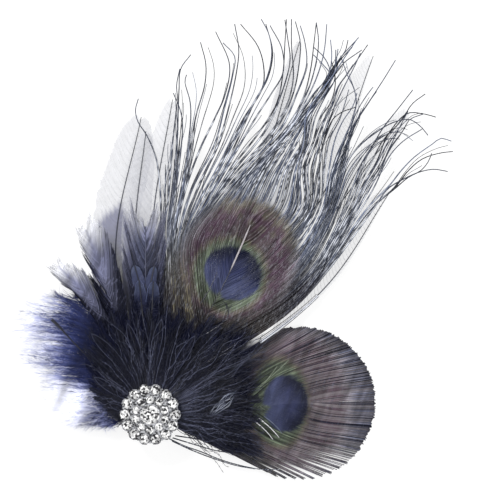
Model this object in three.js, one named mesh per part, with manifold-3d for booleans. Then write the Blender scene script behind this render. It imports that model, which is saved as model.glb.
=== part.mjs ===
// Peacock feather hair clip with a round brooch, lying face up on a table.
// Millimetres. +Z is up, +Y points to the feather tips, the origin is under the brooch centre.

import * as THREE from "three";
import { mergeVertices } from "three/addons/utils/BufferGeometryUtils.js";
import Module from "manifold-3d";

const wasm = await Module();
wasm.setup();

// Heights of the stack at the brooch, and how the feathers come down to the table around it.
const PLATE_TOP = 7.2;
const PIECE_GAP = 0.3;
const QUILL_THICK = 0.6;
const ROOT_RADIUS = 12;
const REST_RADIUS = 90;
const OPEN_RADIUS = 60;
const ROOT_HEIGHT = PLATE_TOP + PIECE_GAP + QUILL_THICK / 2;
const ROOT_PITCH = QUILL_THICK + PIECE_GAP;
const OPEN_PITCH = 2.4;
const TOP_LEVEL = 5;
const STACK_TOP = ROOT_HEIGHT + TOP_LEVEL * ROOT_PITCH + QUILL_THICK / 2;

// Feather walls. Where a feather lies on the table its drooping edge just touches it.
const VANE_HALF = 0.25;
const RIDGE_OPEN = 0.7;
const QUILL_HALF_WIDE = 0.55;
const QUILL_TIP_HALF = 0.2;
const DROOP_SLOPE = 0.035;
const DROOP_LIMIT = 0.5;
const REST_HEIGHT = VANE_HALF + DROOP_LIMIT;

// Hair clip: a folded strip with a round plate.
const CLIP = {
  half: 4, start: -11, end: 34, sheet: 0.9, height: 6.3, plateRadius: 11, plateSides: 24, foldSides: 6,
};

// Brooch: three stepped rings of stones in one setting.
const SCALLOP_RADIUS = 2.5;
const SETTING_BASE = STACK_TOP + PIECE_GAP;
const SCALLOP_SIDES = 10;
const STEP_SIDES = 28;
const CLAW_HALF = 0.45;
const CLAW_RISE = 1.0;
const CLAW_FOOT = 1.0;
const CLAW_SIDES = 5;
const CLAW_OFFSET = 0.62;
const STONE_CLEARANCE = 0.2;
const STONE_SIDES = 8;
const STONE_ROWS = [
  { name: "centre_stone", count: 1, ring: 0, radius: 3.9, stepRadius: 4.5, stepTop: 4.0, phase: 0 },
  { name: "inner_stone", count: 10, ring: 6.15, radius: 1.6, stepRadius: 8.1, stepTop: 3.3, phase: 18 },
  { name: "outer_stone", count: 14, ring: 10.15, radius: 1.95, stepRadius: 11.4, stepTop: 2.3, phase: 0 },
];
const STONE_CUT = { crown: 0.42, table: 0.58, girdle: 0.16, pavilion: 0.62 };

const COLOURS = {
  clear: { color: 0xd6d8de, roughness: 0.6, metalness: 0.0 },
  navy: { color: 0x3a4270, roughness: 0.55, metalness: 0.0 },
  grey: { color: 0x6a7088, roughness: 0.55, metalness: 0.0 },
  dark: { color: 0x15182a, roughness: 0.4, metalness: 0.1 },
  marabou: { color: 0x33428c, roughness: 0.8, metalness: 0.0 },
  peacock: { color: 0x3d4450, roughness: 0.45, metalness: 0.2 },
  eye: { color: 0x3a4a44, roughness: 0.45, metalness: 0.2 },
  silver: { color: 0xc9ccd2, roughness: 0.2, metalness: 1.0 },
  steel: { color: 0xb4b7bc, roughness: 0.35, metalness: 1.0 },
  stone: { color: 0xe6ebf2, roughness: 0.05, metalness: 0.0 },
};

// Plain feathers. root, bend and tip lie on the shaft, vane is where the barbs begin,
// left and right are the widest half widths.
const FEATHERS = [
  { name: "clear_feather_left_outer", paint: "clear", level: 0, vane: 0.4, left: 9.5, right: 9, teeth: 9,
    rootX: -1.6, rootY: 5, bendX: -14.5, bendY: 66, tipX: -4, tipY: 122 },
  { name: "clear_feather_left_middle", paint: "clear", level: 1, vane: 0.5, left: 4.5, right: 4, teeth: 7,
    rootX: -0.6, rootY: 4, bendX: -6.5, bendY: 72, tipX: -2, tipY: 116 },
  { name: "clear_feather_left_inner", paint: "clear", level: 2, vane: 0.5, left: 6.5, right: 6.5, teeth: 8,
    rootX: 0, rootY: -2, bendX: 0.8, bendY: 78, tipX: 9, tipY: 129 },
  { name: "clear_feather_top", paint: "clear", level: 0, vane: 0.62, left: 4, right: 4, teeth: 7,
    rootX: 1.5, rootY: 4, bendX: 41, bendY: 87, tipX: 61.5, tipY: 154 },
  { name: "clear_feather_right_upper", paint: "clear", level: 1, vane: 0.6, left: 7, right: 1.5, teeth: 8,
    rootX: 1.6, rootY: 3, bendX: 66, bendY: 81, tipX: 91.5, tipY: 147 },
  { name: "clear_feather_right_middle", paint: "clear", level: 0, vane: 0.6, left: 6, right: 5, teeth: 8,
    rootX: 3, rootY: 3.4, bendX: 62, bendY: 66, tipX: 106, tipY: 125 },
  { name: "clear_feather_right_low", paint: "clear", level: 1, vane: 0.42, left: 8.5, right: 1.2, teeth: 9,
    rootX: 4, rootY: 2, bendX: 73, bendY: 49, tipX: 99, tipY: 92 },
  { name: "navy_hackle_lower", paint: "navy", level: 3, vane: 0.3, left: 4.5, right: 4, teeth: 7,
    rootX: -2, rootY: 3, bendX: -20, bendY: 41, tipX: -41, tipY: 65 },
  { name: "navy_hackle_upper", paint: "navy", level: 4, vane: 0.36, left: 6.5, right: 5.5, teeth: 7,
    rootX: -2.2, rootY: 4, bendX: -19, bendY: 56, tipX: -28, tipY: 80.5 },
  { name: "grey_centre_feather", paint: "grey", level: 4, vane: 0.45, left: 4.5, right: 5, teeth: 7,
    rootX: -0.2, rootY: 5, bendX: -1.6, bendY: 45, tipX: -2, tipY: 78 },
];

// Shaft and herl guides of the large peacock feather, from the outermost left herl round the tip
// to the outermost right one. Each guide bends, leaves the closed part at open, and ends at tip.
const LARGE_SHAFT = [
  { x: 1, y: 2.5 }, { x: 9, y: 15 }, { x: 20.5, y: 36 },
  { x: 29, y: 51 }, { x: 36, y: 66 }, { x: 42, y: 80 },
];
const LARGE_LEVEL = 3;
const LARGE_ROWS = 13;
const LARGE_FREE = 0.16;
const LEFT_HERLS = [
  { bendX: 5, bendY: 50, openX: 8, openY: 95, tipX: 14, tipY: 147 },
  { bendX: 11, bendY: 58, openX: 16, openY: 105, tipX: 21.5, tipY: 152 },
  { bendX: 15, bendY: 70, openX: 25, openY: 108, tipX: 28, tipY: 159 },
  { bendX: 19, bendY: 79, openX: 33, openY: 107, tipX: 37, tipY: 161 },
  { bendX: 28, bendY: 86, openX: 41, openY: 106, tipX: 48, tipY: 162 },
  { bendX: 38, bendY: 88, openX: 48, openY: 104, tipX: 59, tipY: 161 },
  { bendX: 44, bendY: 88, openX: 53, openY: 102, tipX: 70.5, tipY: 159 },
];
const RIGHT_HERLS = [
  { bendX: 47, bendY: 86, openX: 58, openY: 101, tipX: 75, tipY: 146 },
  { bendX: 52, bendY: 79, openX: 65, openY: 98, tipX: 81, tipY: 151 },
  { bendX: 58, bendY: 71, openX: 74, openY: 92, tipX: 101, tipY: 145 },
  { bendX: 58, bendY: 61, openX: 80, openY: 84, tipX: 113, tipY: 131 },
  { bendX: 54, bendY: 49, openX: 80, openY: 73, tipX: 118, tipY: 117 },
  { bendX: 46, bendY: 37, openX: 75, openY: 58, tipX: 122, tipY: 103 },
];

// Round-trimmed peacock feather: a disc of barbs about its shaft.
const SMALL_SHAFT = [{ x: 4, y: 0 }, { x: 34, y: 1.5 }, { x: 56, y: 4 }, { x: 84, y: 5 }];
const SMALL_LEVEL = 0;
const SMALL_ROWS = 14;
const SMALL_FREE = 0.4;
const SMALL_DISC = { x: 61.5, y: 4.5, radius: 30.5, firstAngle: 148, lastAngle: 4 };

// Fans of strands without a shaft: a row for each direction, with the length of its strands.
const FAN_RINGS = { root: 4.5, outer: 24, closedShare: 0.55 };
const FAN_SHORTEST = 0.88;
const FAN_LOCK_SLOPE = 0.035;
const UPPER_FAN = { name: "dark_fan_upper", paint: "dark", level: 5, locks: 16, half: 1.5, rows: [
  { angle: 196, reach: 13.5 }, { angle: 165, reach: 22 }, { angle: 140, reach: 34 },
  { angle: 122, reach: 45 }, { angle: 105, reach: 50 }, { angle: 92, reach: 55 },
  { angle: 75, reach: 47 }, { angle: 58, reach: 46 },
] };
const RIGHT_FAN = { name: "dark_fan_right", paint: "dark", level: 4, locks: 14, half: 1.4, rows: [
  { angle: 60, reach: 50 }, { angle: 45, reach: 52 }, { angle: 30, reach: 54 },
  { angle: 12, reach: 46 }, { angle: -8, reach: 46 }, { angle: -22, reach: 56 }, { angle: -30, reach: 40 },
] };
const LOW_HERLS = { name: "loose_low_herls", paint: "peacock", level: 3, locks: 3, half: 0.7, rows: [
  { angle: -20, reach: 60 }, { angle: -26, reach: 57 }, { angle: -32, reach: 50 },
] };
const FAN_WAVE = 0.25;

// Fluffy plume on the left: its section along a rib, by distance or by share of the rib, and its outline.
const MARABOU = {
  locks: 18, shortest: 0.93, longest: 1.05, lockShare: 0.9, lockHalf: 1.6, lockThick: 1.1, tipHeight: 3.6,
};
const MARABOU_SECTION = [
  { distance: 5, share: 0, top: 8.1, under: 7.5 },
  { distance: 12.4, share: 0, top: 8.7, under: 7.4 },
  { distance: 15, share: 0.55, top: 9.3, under: 2.6 },
  { distance: 20, share: 0.82, top: 7.6, under: 0.15 },
];
const MARABOU_ROWS = [
  { angle: 122, reach: 57 }, { angle: 132, reach: 63 }, { angle: 142, reach: 62 },
  { angle: 151, reach: 54 }, { angle: 160, reach: 44 }, { angle: 170, reach: 39 },
  { angle: 181, reach: 36 }, { angle: 190, reach: 28 },
];

// Points and faces of one closed body, turned into a geometry at the end.
class Shell {
  constructor() {
    this.points = [];
    this.faces = [];
  }

  point(x, y, z) {
    this.points.push(x, y, z);
    return this.points.length / 3 - 1;
  }

  triangle(a, b, c) {
    this.faces.push(a, b, c);
  }

  quad(a, b, c, d) {
    this.triangle(a, b, c);
    this.triangle(a, c, d);
  }

  geometry() {
    const geometry = new THREE.BufferGeometry();
    geometry.setAttribute("position", new THREE.Float32BufferAttribute(this.points, 3));
    geometry.setIndex(this.faces);
    geometry.computeVertexNormals();
    return geometry;
  }
}

function seededRandom(seed) {
  let state = seed;
  return () => {
    state = (state * 1664525 + 1013904223) % 4294967296;
    return state / 4294967296;
  };
}

function mix(a, b, share) {
  return a + (b - a) * share;
}

function smooth(value, low, high) {
  return THREE.MathUtils.smoothstep(value, low, high);
}

// Middle height of a feather of the given level above a place on the table.
function heightAt(x, y, level) {
  const radius = Math.hypot(x, y);
  const base = mix(ROOT_HEIGHT, REST_HEIGHT, smooth(radius, ROOT_RADIUS, REST_RADIUS));
  const pitch = mix(ROOT_PITCH, OPEN_PITCH, smooth(radius, ROOT_RADIUS, OPEN_RADIUS));
  return base + level * pitch;
}

function curveThrough(points) {
  return new THREE.CatmullRomCurve3(points.map((point) => new THREE.Vector3(point.x, point.y, 0)));
}

// Value of a named column at a share of the way down a table.
function columnAt(rows, column, share) {
  const place = share * (rows.length - 1);
  const index = Math.min(Math.floor(place), rows.length - 2);
  return mix(rows[index][column], rows[index + 1][column], place - index);
}

// One rib of a vane: matching points on its top and its underside.
function addRib(shell, start, points, level, rootPoint) {
  const rib = { top: [start.top], bottom: [start.bottom], ends: points };
  for (const point of points) {
    const away = Math.hypot(point.x - rootPoint.x, point.y - rootPoint.y);
    const middle = heightAt(point.x, point.y, level) - Math.min(away * DROOP_SLOPE, DROOP_LIMIT);
    rib.top.push(shell.point(point.x, point.y, middle + VANE_HALF));
    rib.bottom.push(shell.point(point.x, point.y, middle - VANE_HALF));
  }
  return rib;
}

function closeRibPair(shell, left, right) {
  for (let k = 0; k + 1 < left.top.length; k += 1) {
    shell.quad(left.top[k], right.top[k], right.top[k + 1], left.top[k + 1]);
    shell.quad(left.bottom[k + 1], right.bottom[k + 1], right.bottom[k], left.bottom[k]);
  }
}

function closeOuterRibs(shell, first, last) {
  for (let k = 0; k + 1 < first.top.length; k += 1) {
    shell.quad(first.top[k], first.top[k + 1], first.bottom[k + 1], first.bottom[k]);
    shell.quad(last.top[k + 1], last.top[k], last.bottom[k], last.bottom[k + 1]);
  }
}

// A tapering lock that grows from the outer edge between two ribs to a sharp tip.
function addLock(shell, left, right, stations, tip) {
  let ring = [left.top.at(-1), right.top.at(-1), right.bottom.at(-1), left.bottom.at(-1)];
  for (const station of stations) {
    const next = lockRing(shell, station);
    for (let side = 0; side < 4; side += 1) {
      const after = (side + 1) % 4;
      shell.quad(ring[side], ring[after], next[after], next[side]);
    }
    ring = next;
  }
  const end = shell.point(tip.x, tip.y, tip.z);
  for (let side = 0; side < 4; side += 1) {
    shell.triangle(ring[side], ring[(side + 1) % 4], end);
  }
}

// Cross-section of a lock: left top, right top, right underside, left underside.
function lockRing(shell, { x, y, z, half, thick, heading }) {
  const acrossX = Math.sin(heading) * half;
  const acrossY = -Math.cos(heading) * half;
  return [
    shell.point(x - acrossX, y - acrossY, z + thick),
    shell.point(x + acrossX, y + acrossY, z + thick),
    shell.point(x + acrossX, y + acrossY, z - thick),
    shell.point(x - acrossX, y - acrossY, z - thick),
  ];
}

// Shaft of a feather: a six-sided rod, open at the sides where the vane joins it.
function addShaft(shell, curve, shares, vaneRow, level) {
  const rings = shares.map((share) => shaftRing(shell, curve, share, level));
  for (let row = 0; row + 1 < rings.length; row += 1) {
    for (let side = 0; side < 6; side += 1) {
      const isOpen = row >= vaneRow && (side === 2 || side === 5);
      if (!isOpen) {
        const after = (side + 1) % 6;
        shell.quad(rings[row][side], rings[row][after], rings[row + 1][after], rings[row + 1][side]);
      }
    }
  }
  for (let side = 1; side < 5; side += 1) {
    shell.triangle(rings[0][0], rings[0][side + 1], rings[0][side]);
  }
  const tip = rings.at(-1);
  shell.triangle(tip[0], tip[1], tip[2]);
  shell.triangle(tip[3], tip[4], tip[5]);
  return rings;
}

// Cross-section of the shaft: left top, ridge, right top, right underside, keel, left underside.
function shaftRing(shell, curve, share, level) {
  const place = curve.getPointAt(share);
  const heading = curve.getTangentAt(share);
  const half = mix(QUILL_HALF_WIDE, QUILL_TIP_HALF, share);
  const middle = heightAt(place.x, place.y, level);
  const open = smooth(Math.hypot(place.x, place.y), ROOT_RADIUS, OPEN_RADIUS);
  const ridge = mix(QUILL_THICK / 2, RIDGE_OPEN, open * (1 - share * share));
  const corner = (side, up) =>
    shell.point(place.x - heading.y * half * side, place.y + heading.x * half * side, middle + up);
  return [
    corner(1, VANE_HALF), corner(0, ridge), corner(-1, VANE_HALF),
    corner(-1, -VANE_HALF), corner(0, -QUILL_THICK / 2), corner(1, -VANE_HALF),
  ];
}

// Points of a shaft ring that a rib starts from, on the left or the right side.
function shaftSide(ring, side) {
  return side > 0 ? { top: ring[0], bottom: ring[5] } : { top: ring[2], bottom: ring[3] };
}

function evenShares(from, to, count) {
  return Array.from({ length: count }, (_, i) => mix(from, to, i / (count - 1)));
}

// Rows along the bare quill: its root, the edge of the clip's plate, and steps up to the vane.
function quillShares(curve, vaneStart) {
  const STEP = 14;
  const length = curve.getLength();
  const plateEdge = ROOT_RADIUS / length;
  if (vaneStart < plateEdge * 1.5) return [0, vaneStart / 2];
  const steps = Math.max(1, Math.round(((vaneStart - plateEdge) * length) / STEP));
  return [0, ...evenShares(plateEdge, vaneStart, steps + 1).slice(0, -1)];
}

// Outline of a plain vane: zero at its start and tip, widest a little before the middle.
function vaneWidth(share) {
  const FULLEST = 0.8;
  const ROUNDNESS = 0.6;
  return Math.sin(Math.PI * Math.min(Math.max(share, 0.02), 0.97) ** FULLEST) ** ROUNDNESS;
}

// A plain feather: shaft, two vanes with swept notches, and a tooth between each pair of notches.
function plainFeather(row) {
  const NOTCH_DEPTH = 0.82;
  const SWEEP = 0.75;
  const TOOTH_REACH = 1.06;
  const SHAFT_END = 0.93;
  const shell = new Shell();
  const curve = curveThrough([
    { x: row.rootX, y: row.rootY }, { x: row.bendX, y: row.bendY }, { x: row.tipX, y: row.tipY },
  ]);
  const quill = quillShares(curve, row.vane);
  const shares = [...quill, ...evenShares(row.vane, SHAFT_END, row.teeth + 1)];
  const rings = addShaft(shell, curve, shares, quill.length, row.level);
  const edgePoint = (share, side, depth) => {
    const place = curve.getPointAt(Math.min(share, 1));
    const heading = curve.getTangentAt(Math.min(share, 1));
    const along = (share - row.vane) / (1 - row.vane);
    const wide = (side > 0 ? row.left : row.right) * vaneWidth(along) * depth;
    return {
      x: place.x + (-heading.y * side + heading.x * SWEEP) * wide,
      y: place.y + (heading.x * side + heading.y * SWEEP) * wide,
    };
  };
  const ribAt = (index, side) => {
    const start = shaftSide(rings[quill.length + index], side);
    const share = shares[quill.length + index];
    const notch = edgePoint(share, side, NOTCH_DEPTH);
    const rib = addRib(shell, start, [notch], row.level, curve.getPointAt(share));
    return { ...rib, share, side };
  };
  const ribs = [];
  for (let i = 0; i <= row.teeth; i += 1) ribs.push(ribAt(i, 1));
  for (let i = row.teeth; i >= 0; i -= 1) ribs.push(ribAt(i, -1));
  for (let i = 0; i + 1 < ribs.length; i += 1) {
    closeRibPair(shell, ribs[i], ribs[i + 1]);
    const isTip = ribs[i].side !== ribs[i + 1].side;
    const share = (ribs[i].share + ribs[i + 1].share) / 2;
    const end = isTip ? curve.getPointAt(1) : edgePoint(share, ribs[i].side, TOOTH_REACH);
    addLock(shell, ribs[i], ribs[i + 1], [], { x: end.x, y: end.y, z: heightAt(end.x, end.y, row.level) });
  }
  closeOuterRibs(shell, ribs[0], ribs.at(-1));
  return shell.geometry();
}

// Path of one herl from the shaft through its bend and the edge of the closed part to its tip.
function herlCurve(start, guides, share) {
  const at = (column) => columnAt(guides, column, share);
  return curveThrough([
    start,
    { x: at("bendX"), y: at("bendY") },
    { x: at("openX"), y: at("openY") },
    { x: at("tipX"), y: at("tipY") },
  ]);
}

// The large peacock feather: a closed vane round the eye that frays into long tapering herls.
function largePeacock() {
  const OPEN_SHARE = 2 / 3;
  const CLOSED_STEPS = 4;
  const LOCK_STATIONS = [0.12, 0.4, 0.7, 0.9];
  const LOCK_HALF = [1.25, 0.95, 0.7, 0.45];
  const LIFT = [0.5, -0.4];
  const SHORTEST = 0.92;
  const random = seededRandom(7);
  const shell = new Shell();
  const shaft = curveThrough(LARGE_SHAFT);
  const quill = quillShares(shaft, LARGE_FREE);
  const shares = [...quill, ...evenShares(LARGE_FREE, 1, LARGE_ROWS)];
  const rings = addShaft(shell, shaft, shares, quill.length, LARGE_LEVEL);
  const makeRib = (index, side) => {
    const row = quill.length + index;
    const place = shaft.getPointAt(shares[row]);
    const along = index / (LARGE_ROWS - 1);
    const curve = side > 0 ? herlCurve(place, LEFT_HERLS, along) : herlCurve(place, RIGHT_HERLS, 1 - along);
    const points = [];
    for (let k = 1; k <= CLOSED_STEPS; k += 1) points.push(curve.getPoint((OPEN_SHARE * k) / CLOSED_STEPS));
    return { ...addRib(shell, shaftSide(rings[row], side), points, LARGE_LEVEL, place), curve };
  };
  const ribs = [];
  for (let i = 0; i < LARGE_ROWS; i += 1) ribs.push(makeRib(i, 1));
  for (let i = LARGE_ROWS - 1; i >= 0; i -= 1) ribs.push(makeRib(i, -1));
  for (let i = 0; i + 1 < ribs.length; i += 1) {
    closeRibPair(shell, ribs[i], ribs[i + 1]);
    const length = mix(SHORTEST, 1, random());
    const lift = LIFT[i % LIFT.length];
    const middle = (share) => {
      const u = mix(OPEN_SHARE, 1, share * length);
      const a = ribs[i].curve.getPoint(u);
      const b = ribs[i + 1].curve.getPoint(u);
      const x = (a.x + b.x) / 2;
      const y = (a.y + b.y) / 2;
      return { x, y, z: heightAt(x, y, LARGE_LEVEL) - DROOP_LIMIT + lift * Math.min(1, share * 2) };
    };
    const stations = LOCK_STATIONS.map((share, k) => {
      const here = middle(share);
      const ahead = middle(share + 0.05);
      const heading = Math.atan2(ahead.y - here.y, ahead.x - here.x);
      return { ...here, half: LOCK_HALF[k], thick: VANE_HALF, heading };
    });
    addLock(shell, ribs[i], ribs[i + 1], stations, middle(1));
  }
  closeOuterRibs(shell, ribs[0], ribs.at(-1));
  return shell.geometry();
}

// The small peacock feather: straight barbs trimmed to a round outline.
function smallPeacock() {
  const CLOSED_STEPS = 3;
  const TOOTH = 1.4;
  const shell = new Shell();
  const shaft = curveThrough(SMALL_SHAFT);
  const quill = quillShares(shaft, SMALL_FREE);
  const shares = [...quill, ...evenShares(SMALL_FREE, 1, SMALL_ROWS)];
  const rings = addShaft(shell, shaft, shares, quill.length, SMALL_LEVEL);
  const rimPoint = (angle, radius) => ({
    x: SMALL_DISC.x + Math.cos(THREE.MathUtils.degToRad(angle)) * radius,
    y: SMALL_DISC.y + Math.sin(THREE.MathUtils.degToRad(angle)) * radius,
  });
  const makeRib = (index, side) => {
    const row = quill.length + index;
    const place = shaft.getPointAt(shares[row]);
    const angle = side * mix(SMALL_DISC.firstAngle, SMALL_DISC.lastAngle, index / (SMALL_ROWS - 1));
    const rim = rimPoint(angle, SMALL_DISC.radius);
    const points = [];
    for (let k = 1; k <= CLOSED_STEPS; k += 1) {
      points.push({ x: mix(place.x, rim.x, k / CLOSED_STEPS), y: mix(place.y, rim.y, k / CLOSED_STEPS) });
    }
    return { ...addRib(shell, shaftSide(rings[row], side), points, SMALL_LEVEL, place), angle };
  };
  const ribs = [];
  for (let i = 0; i < SMALL_ROWS; i += 1) ribs.push(makeRib(i, 1));
  for (let i = SMALL_ROWS - 1; i >= 0; i -= 1) ribs.push(makeRib(i, -1));
  for (let i = 0; i + 1 < ribs.length; i += 1) {
    closeRibPair(shell, ribs[i], ribs[i + 1]);
    const end = rimPoint((ribs[i].angle + ribs[i + 1].angle) / 2, SMALL_DISC.radius + TOOTH);
    const z = heightAt(end.x, end.y, SMALL_LEVEL) - DROOP_LIMIT / 2;
    addLock(shell, ribs[i], ribs[i + 1], [], { x: end.x, y: end.y, z });
  }
  closeOuterRibs(shell, ribs[0], ribs.at(-1));
  return shell.geometry();
}

// Place at an angle in degrees and a distance from the brooch centre.
function polar(angle, radius) {
  const turn = THREE.MathUtils.degToRad(angle);
  return { x: Math.cos(turn) * radius, y: Math.sin(turn) * radius };
}

function closeFan(shell, ribs) {
  for (let i = 0; i + 1 < ribs.length; i += 1) {
    closeRibPair(shell, ribs[i], ribs[i + 1]);
    shell.quad(ribs[i + 1].top[0], ribs[i].top[0], ribs[i].bottom[0], ribs[i + 1].bottom[0]);
  }
  closeOuterRibs(shell, ribs[0], ribs.at(-1));
}

// Distances at which a fan's rib has points: short strands part sooner.
function fanRings(reach) {
  const outer = Math.min(FAN_RINGS.outer, mix(FAN_RINGS.root, reach, FAN_RINGS.closedShare));
  return [FAN_RINGS.root, mix(FAN_RINGS.root, outer, 0.5), outer];
}

// A fan of strands: a thin sheet near the brooch that parts into pointed locks.
function strandFan(fan) {
  const random = seededRandom(fan.level * 13 + fan.locks);
  const shell = new Shell();
  const ribs = [];
  for (let i = 0; i <= fan.locks; i += 1) {
    const angle = columnAt(fan.rows, "angle", i / fan.locks);
    const reach = columnAt(fan.rows, "reach", i / fan.locks);
    const rib = { top: [], bottom: [], angle, reach };
    for (const ring of fanRings(reach)) {
      const place = polar(angle, ring);
      const middle = heightAt(place.x, place.y, fan.level);
      rib.top.push(shell.point(place.x, place.y, middle + VANE_HALF));
      rib.bottom.push(shell.point(place.x, place.y, middle - VANE_HALF));
    }
    ribs.push(rib);
  }
  closeFan(shell, ribs);
  for (let i = 0; i < fan.locks; i += 1) {
    const angle = (ribs[i].angle + ribs[i + 1].angle) / 2;
    const closed = (ribs[i].reach + ribs[i + 1].reach) / 2;
    const reach = closed * mix(FAN_SHORTEST, 1, random());
    const lift = (i % 2) * FAN_WAVE;
    const at = (radius) => {
      const place = polar(angle, radius);
      return { ...place, z: heightAt(place.x, place.y, fan.level) + lift };
    };
    const middle = at(mix(fanRings(closed).at(-1), reach, 0.5));
    const heading = THREE.MathUtils.degToRad(angle);
    const half = Math.min(fan.half, reach * FAN_LOCK_SLOPE);
    addLock(shell, ribs[i], ribs[i + 1], [{ ...middle, half, thick: VANE_HALF, heading }], at(reach));
  }
  return shell.geometry();
}

// The fluffy plume: a thick rounded pad that ends in soft pointed locks.
function marabouPlume() {
  const random = seededRandom(23);
  const shell = new Shell();
  const ribs = [];
  for (let i = 0; i <= MARABOU.locks; i += 1) {
    const share = 1 - i / MARABOU.locks;
    const angle = columnAt(MARABOU_ROWS, "angle", share);
    const reach = columnAt(MARABOU_ROWS, "reach", share);
    const rib = { top: [], bottom: [], angle, reach };
    for (const row of MARABOU_SECTION) {
      const place = polar(angle, Math.max(row.distance, row.share * reach));
      rib.top.push(shell.point(place.x, place.y, row.top));
      rib.bottom.push(shell.point(place.x, place.y, row.under));
    }
    ribs.push(rib);
  }
  closeFan(shell, ribs);
  for (let i = 0; i < MARABOU.locks; i += 1) {
    const angle = (ribs[i].angle + ribs[i + 1].angle) / 2;
    const closed = (ribs[i].reach + ribs[i + 1].reach) / 2;
    const reach = closed * mix(MARABOU.shortest, MARABOU.longest, random());
    const middle = { ...polar(angle, reach * MARABOU.lockShare), z: MARABOU.tipHeight + random() };
    const end = { ...polar(angle, reach), z: MARABOU.tipHeight + mix(-1, 1, random()) };
    const heading = THREE.MathUtils.degToRad(angle);
    const station = { ...middle, half: MARABOU.lockHalf, thick: MARABOU.lockThick, heading };
    addLock(shell, ribs[i], ribs[i + 1], [station], end);
  }
  return shell.geometry();
}

// Prism over a list of outline points in the XY plane, between two heights.
function prism(outline, low, high) {
  const shape = new THREE.Shape(outline.map((point) => new THREE.Vector2(point.x, point.y)));
  const geometry = new THREE.ExtrudeGeometry(shape, { depth: high - low, bevelEnabled: false });
  return geometry.translate(0, 0, low);
}

function toSolid(geometry) {
  geometry.deleteAttribute("normal");
  geometry.deleteAttribute("uv");
  const merged = mergeVertices(geometry);
  const vertProperties = new Float32Array(merged.getAttribute("position").array);
  const triVerts = new Uint32Array(merged.getIndex().array);
  return new wasm.Manifold(new wasm.Mesh({ numProp: 3, vertProperties, triVerts }));
}

function prismSolid(outline, low, high) {
  return toSolid(prism(outline, low, high));
}

function circleOutline(x, y, radius, sides, phase = 0) {
  const points = [];
  for (let i = 0; i < sides; i += 1) {
    const turn = (Math.PI * 2 * (i + phase)) / sides;
    points.push({ x: x + Math.cos(turn) * radius, y: y + Math.sin(turn) * radius });
  }
  return points;
}

function toGeometry(solid) {
  const mesh = solid.getMesh();
  const geometry = new THREE.BufferGeometry();
  const positions = new Float32Array(mesh.numVert * 3);
  for (let i = 0; i < mesh.numVert; i += 1) {
    for (let axis = 0; axis < 3; axis += 1) {
      positions[i * 3 + axis] = mesh.vertProperties[i * mesh.numProp + axis];
    }
  }
  geometry.setAttribute("position", new THREE.BufferAttribute(positions, 3));
  geometry.setIndex(new THREE.BufferAttribute(new Uint32Array(mesh.triVerts), 1));
  geometry.computeVertexNormals();
  return geometry;
}

// Half circle of the clip's fold, from its top round the back to its underside.
function foldArc(radius) {
  const middle = CLIP.height / 2;
  return Array.from({ length: CLIP.foldSides + 1 }, (_, i) => {
    const turn = Math.PI / 2 + (Math.PI * i) / CLIP.foldSides;
    return { x: CLIP.start + middle + Math.cos(turn) * radius, y: middle + Math.sin(turn) * radius };
  });
}

// The clip: one folded strip whose upper blade carries the round plate.
function clipGeometry() {
  const middle = CLIP.height / 2;
  const sideView = [
    { x: CLIP.end, y: CLIP.height },
    ...foldArc(middle),
    { x: CLIP.end, y: 0 },
    { x: CLIP.end, y: CLIP.sheet },
    ...foldArc(middle - CLIP.sheet).reverse(),
    { x: CLIP.end, y: CLIP.height - CLIP.sheet },
  ];
  const strip = prism(sideView, -CLIP.half, CLIP.half).rotateX(Math.PI / 2).rotateZ(Math.PI / 2);
  const disc = circleOutline(0, 0, CLIP.plateRadius, CLIP.plateSides);
  const plate = prismSolid(disc, CLIP.height - CLIP.sheet / 2, PLATE_TOP);
  return toGeometry(toSolid(strip).add(plate));
}

function stonePlaces(row) {
  const places = [];
  for (let i = 0; i < row.count; i += 1) {
    places.push(polar(row.phase + (360 * i) / row.count, row.ring));
  }
  return places;
}

// The setting: stepped discs with a scalloped rim, a pocket for each stone and claws between them.
function settingGeometry() {
  let solid = null;
  const join = (piece) => {
    solid = solid ? solid.add(piece) : piece;
  };
  for (const row of STONE_ROWS) {
    const step = circleOutline(0, 0, row.stepRadius, STEP_SIDES);
    join(prismSolid(step, SETTING_BASE, SETTING_BASE + row.stepTop));
  }
  const outer = STONE_ROWS.at(-1);
  for (const place of stonePlaces(outer)) {
    const scallop = circleOutline(place.x, place.y, SCALLOP_RADIUS, SCALLOP_SIDES);
    join(prismSolid(scallop, SETTING_BASE, SETTING_BASE + outer.stepTop));
  }
  for (const row of STONE_ROWS) {
    for (const place of stonePlaces(row)) solid = solid.subtract(stonePocket(row, place));
  }
  for (const claw of clawPlaces()) {
    const post = circleOutline(claw.x, claw.y, CLAW_HALF, CLAW_SIDES);
    join(prismSolid(post, SETTING_BASE + CLAW_FOOT, SETTING_BASE + claw.top + CLAW_RISE));
  }
  return toGeometry(solid);
}

function stonePocket(row, place) {
  const radius = row.radius + STONE_CLEARANCE;
  const depth = row.radius * STONE_CUT.pavilion + STONE_CLEARANCE;
  const top = SETTING_BASE + row.stepTop;
  const outline = circleOutline(place.x, place.y, radius, STONE_SIDES);
  return prismSolid(outline, top - depth, top + row.radius * 2);
}

// Claws stand between neighbouring stones of a ring.
function clawPlaces() {
  const claws = [];
  for (const row of STONE_ROWS.slice(1)) {
    for (let i = 0; i < row.count; i += 1) {
      const angle = row.phase + (360 * (i + 0.5)) / row.count;
      claws.push({ ...polar(angle, row.ring + row.radius * CLAW_OFFSET), top: row.stepTop });
    }
  }
  return claws;
}

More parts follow.
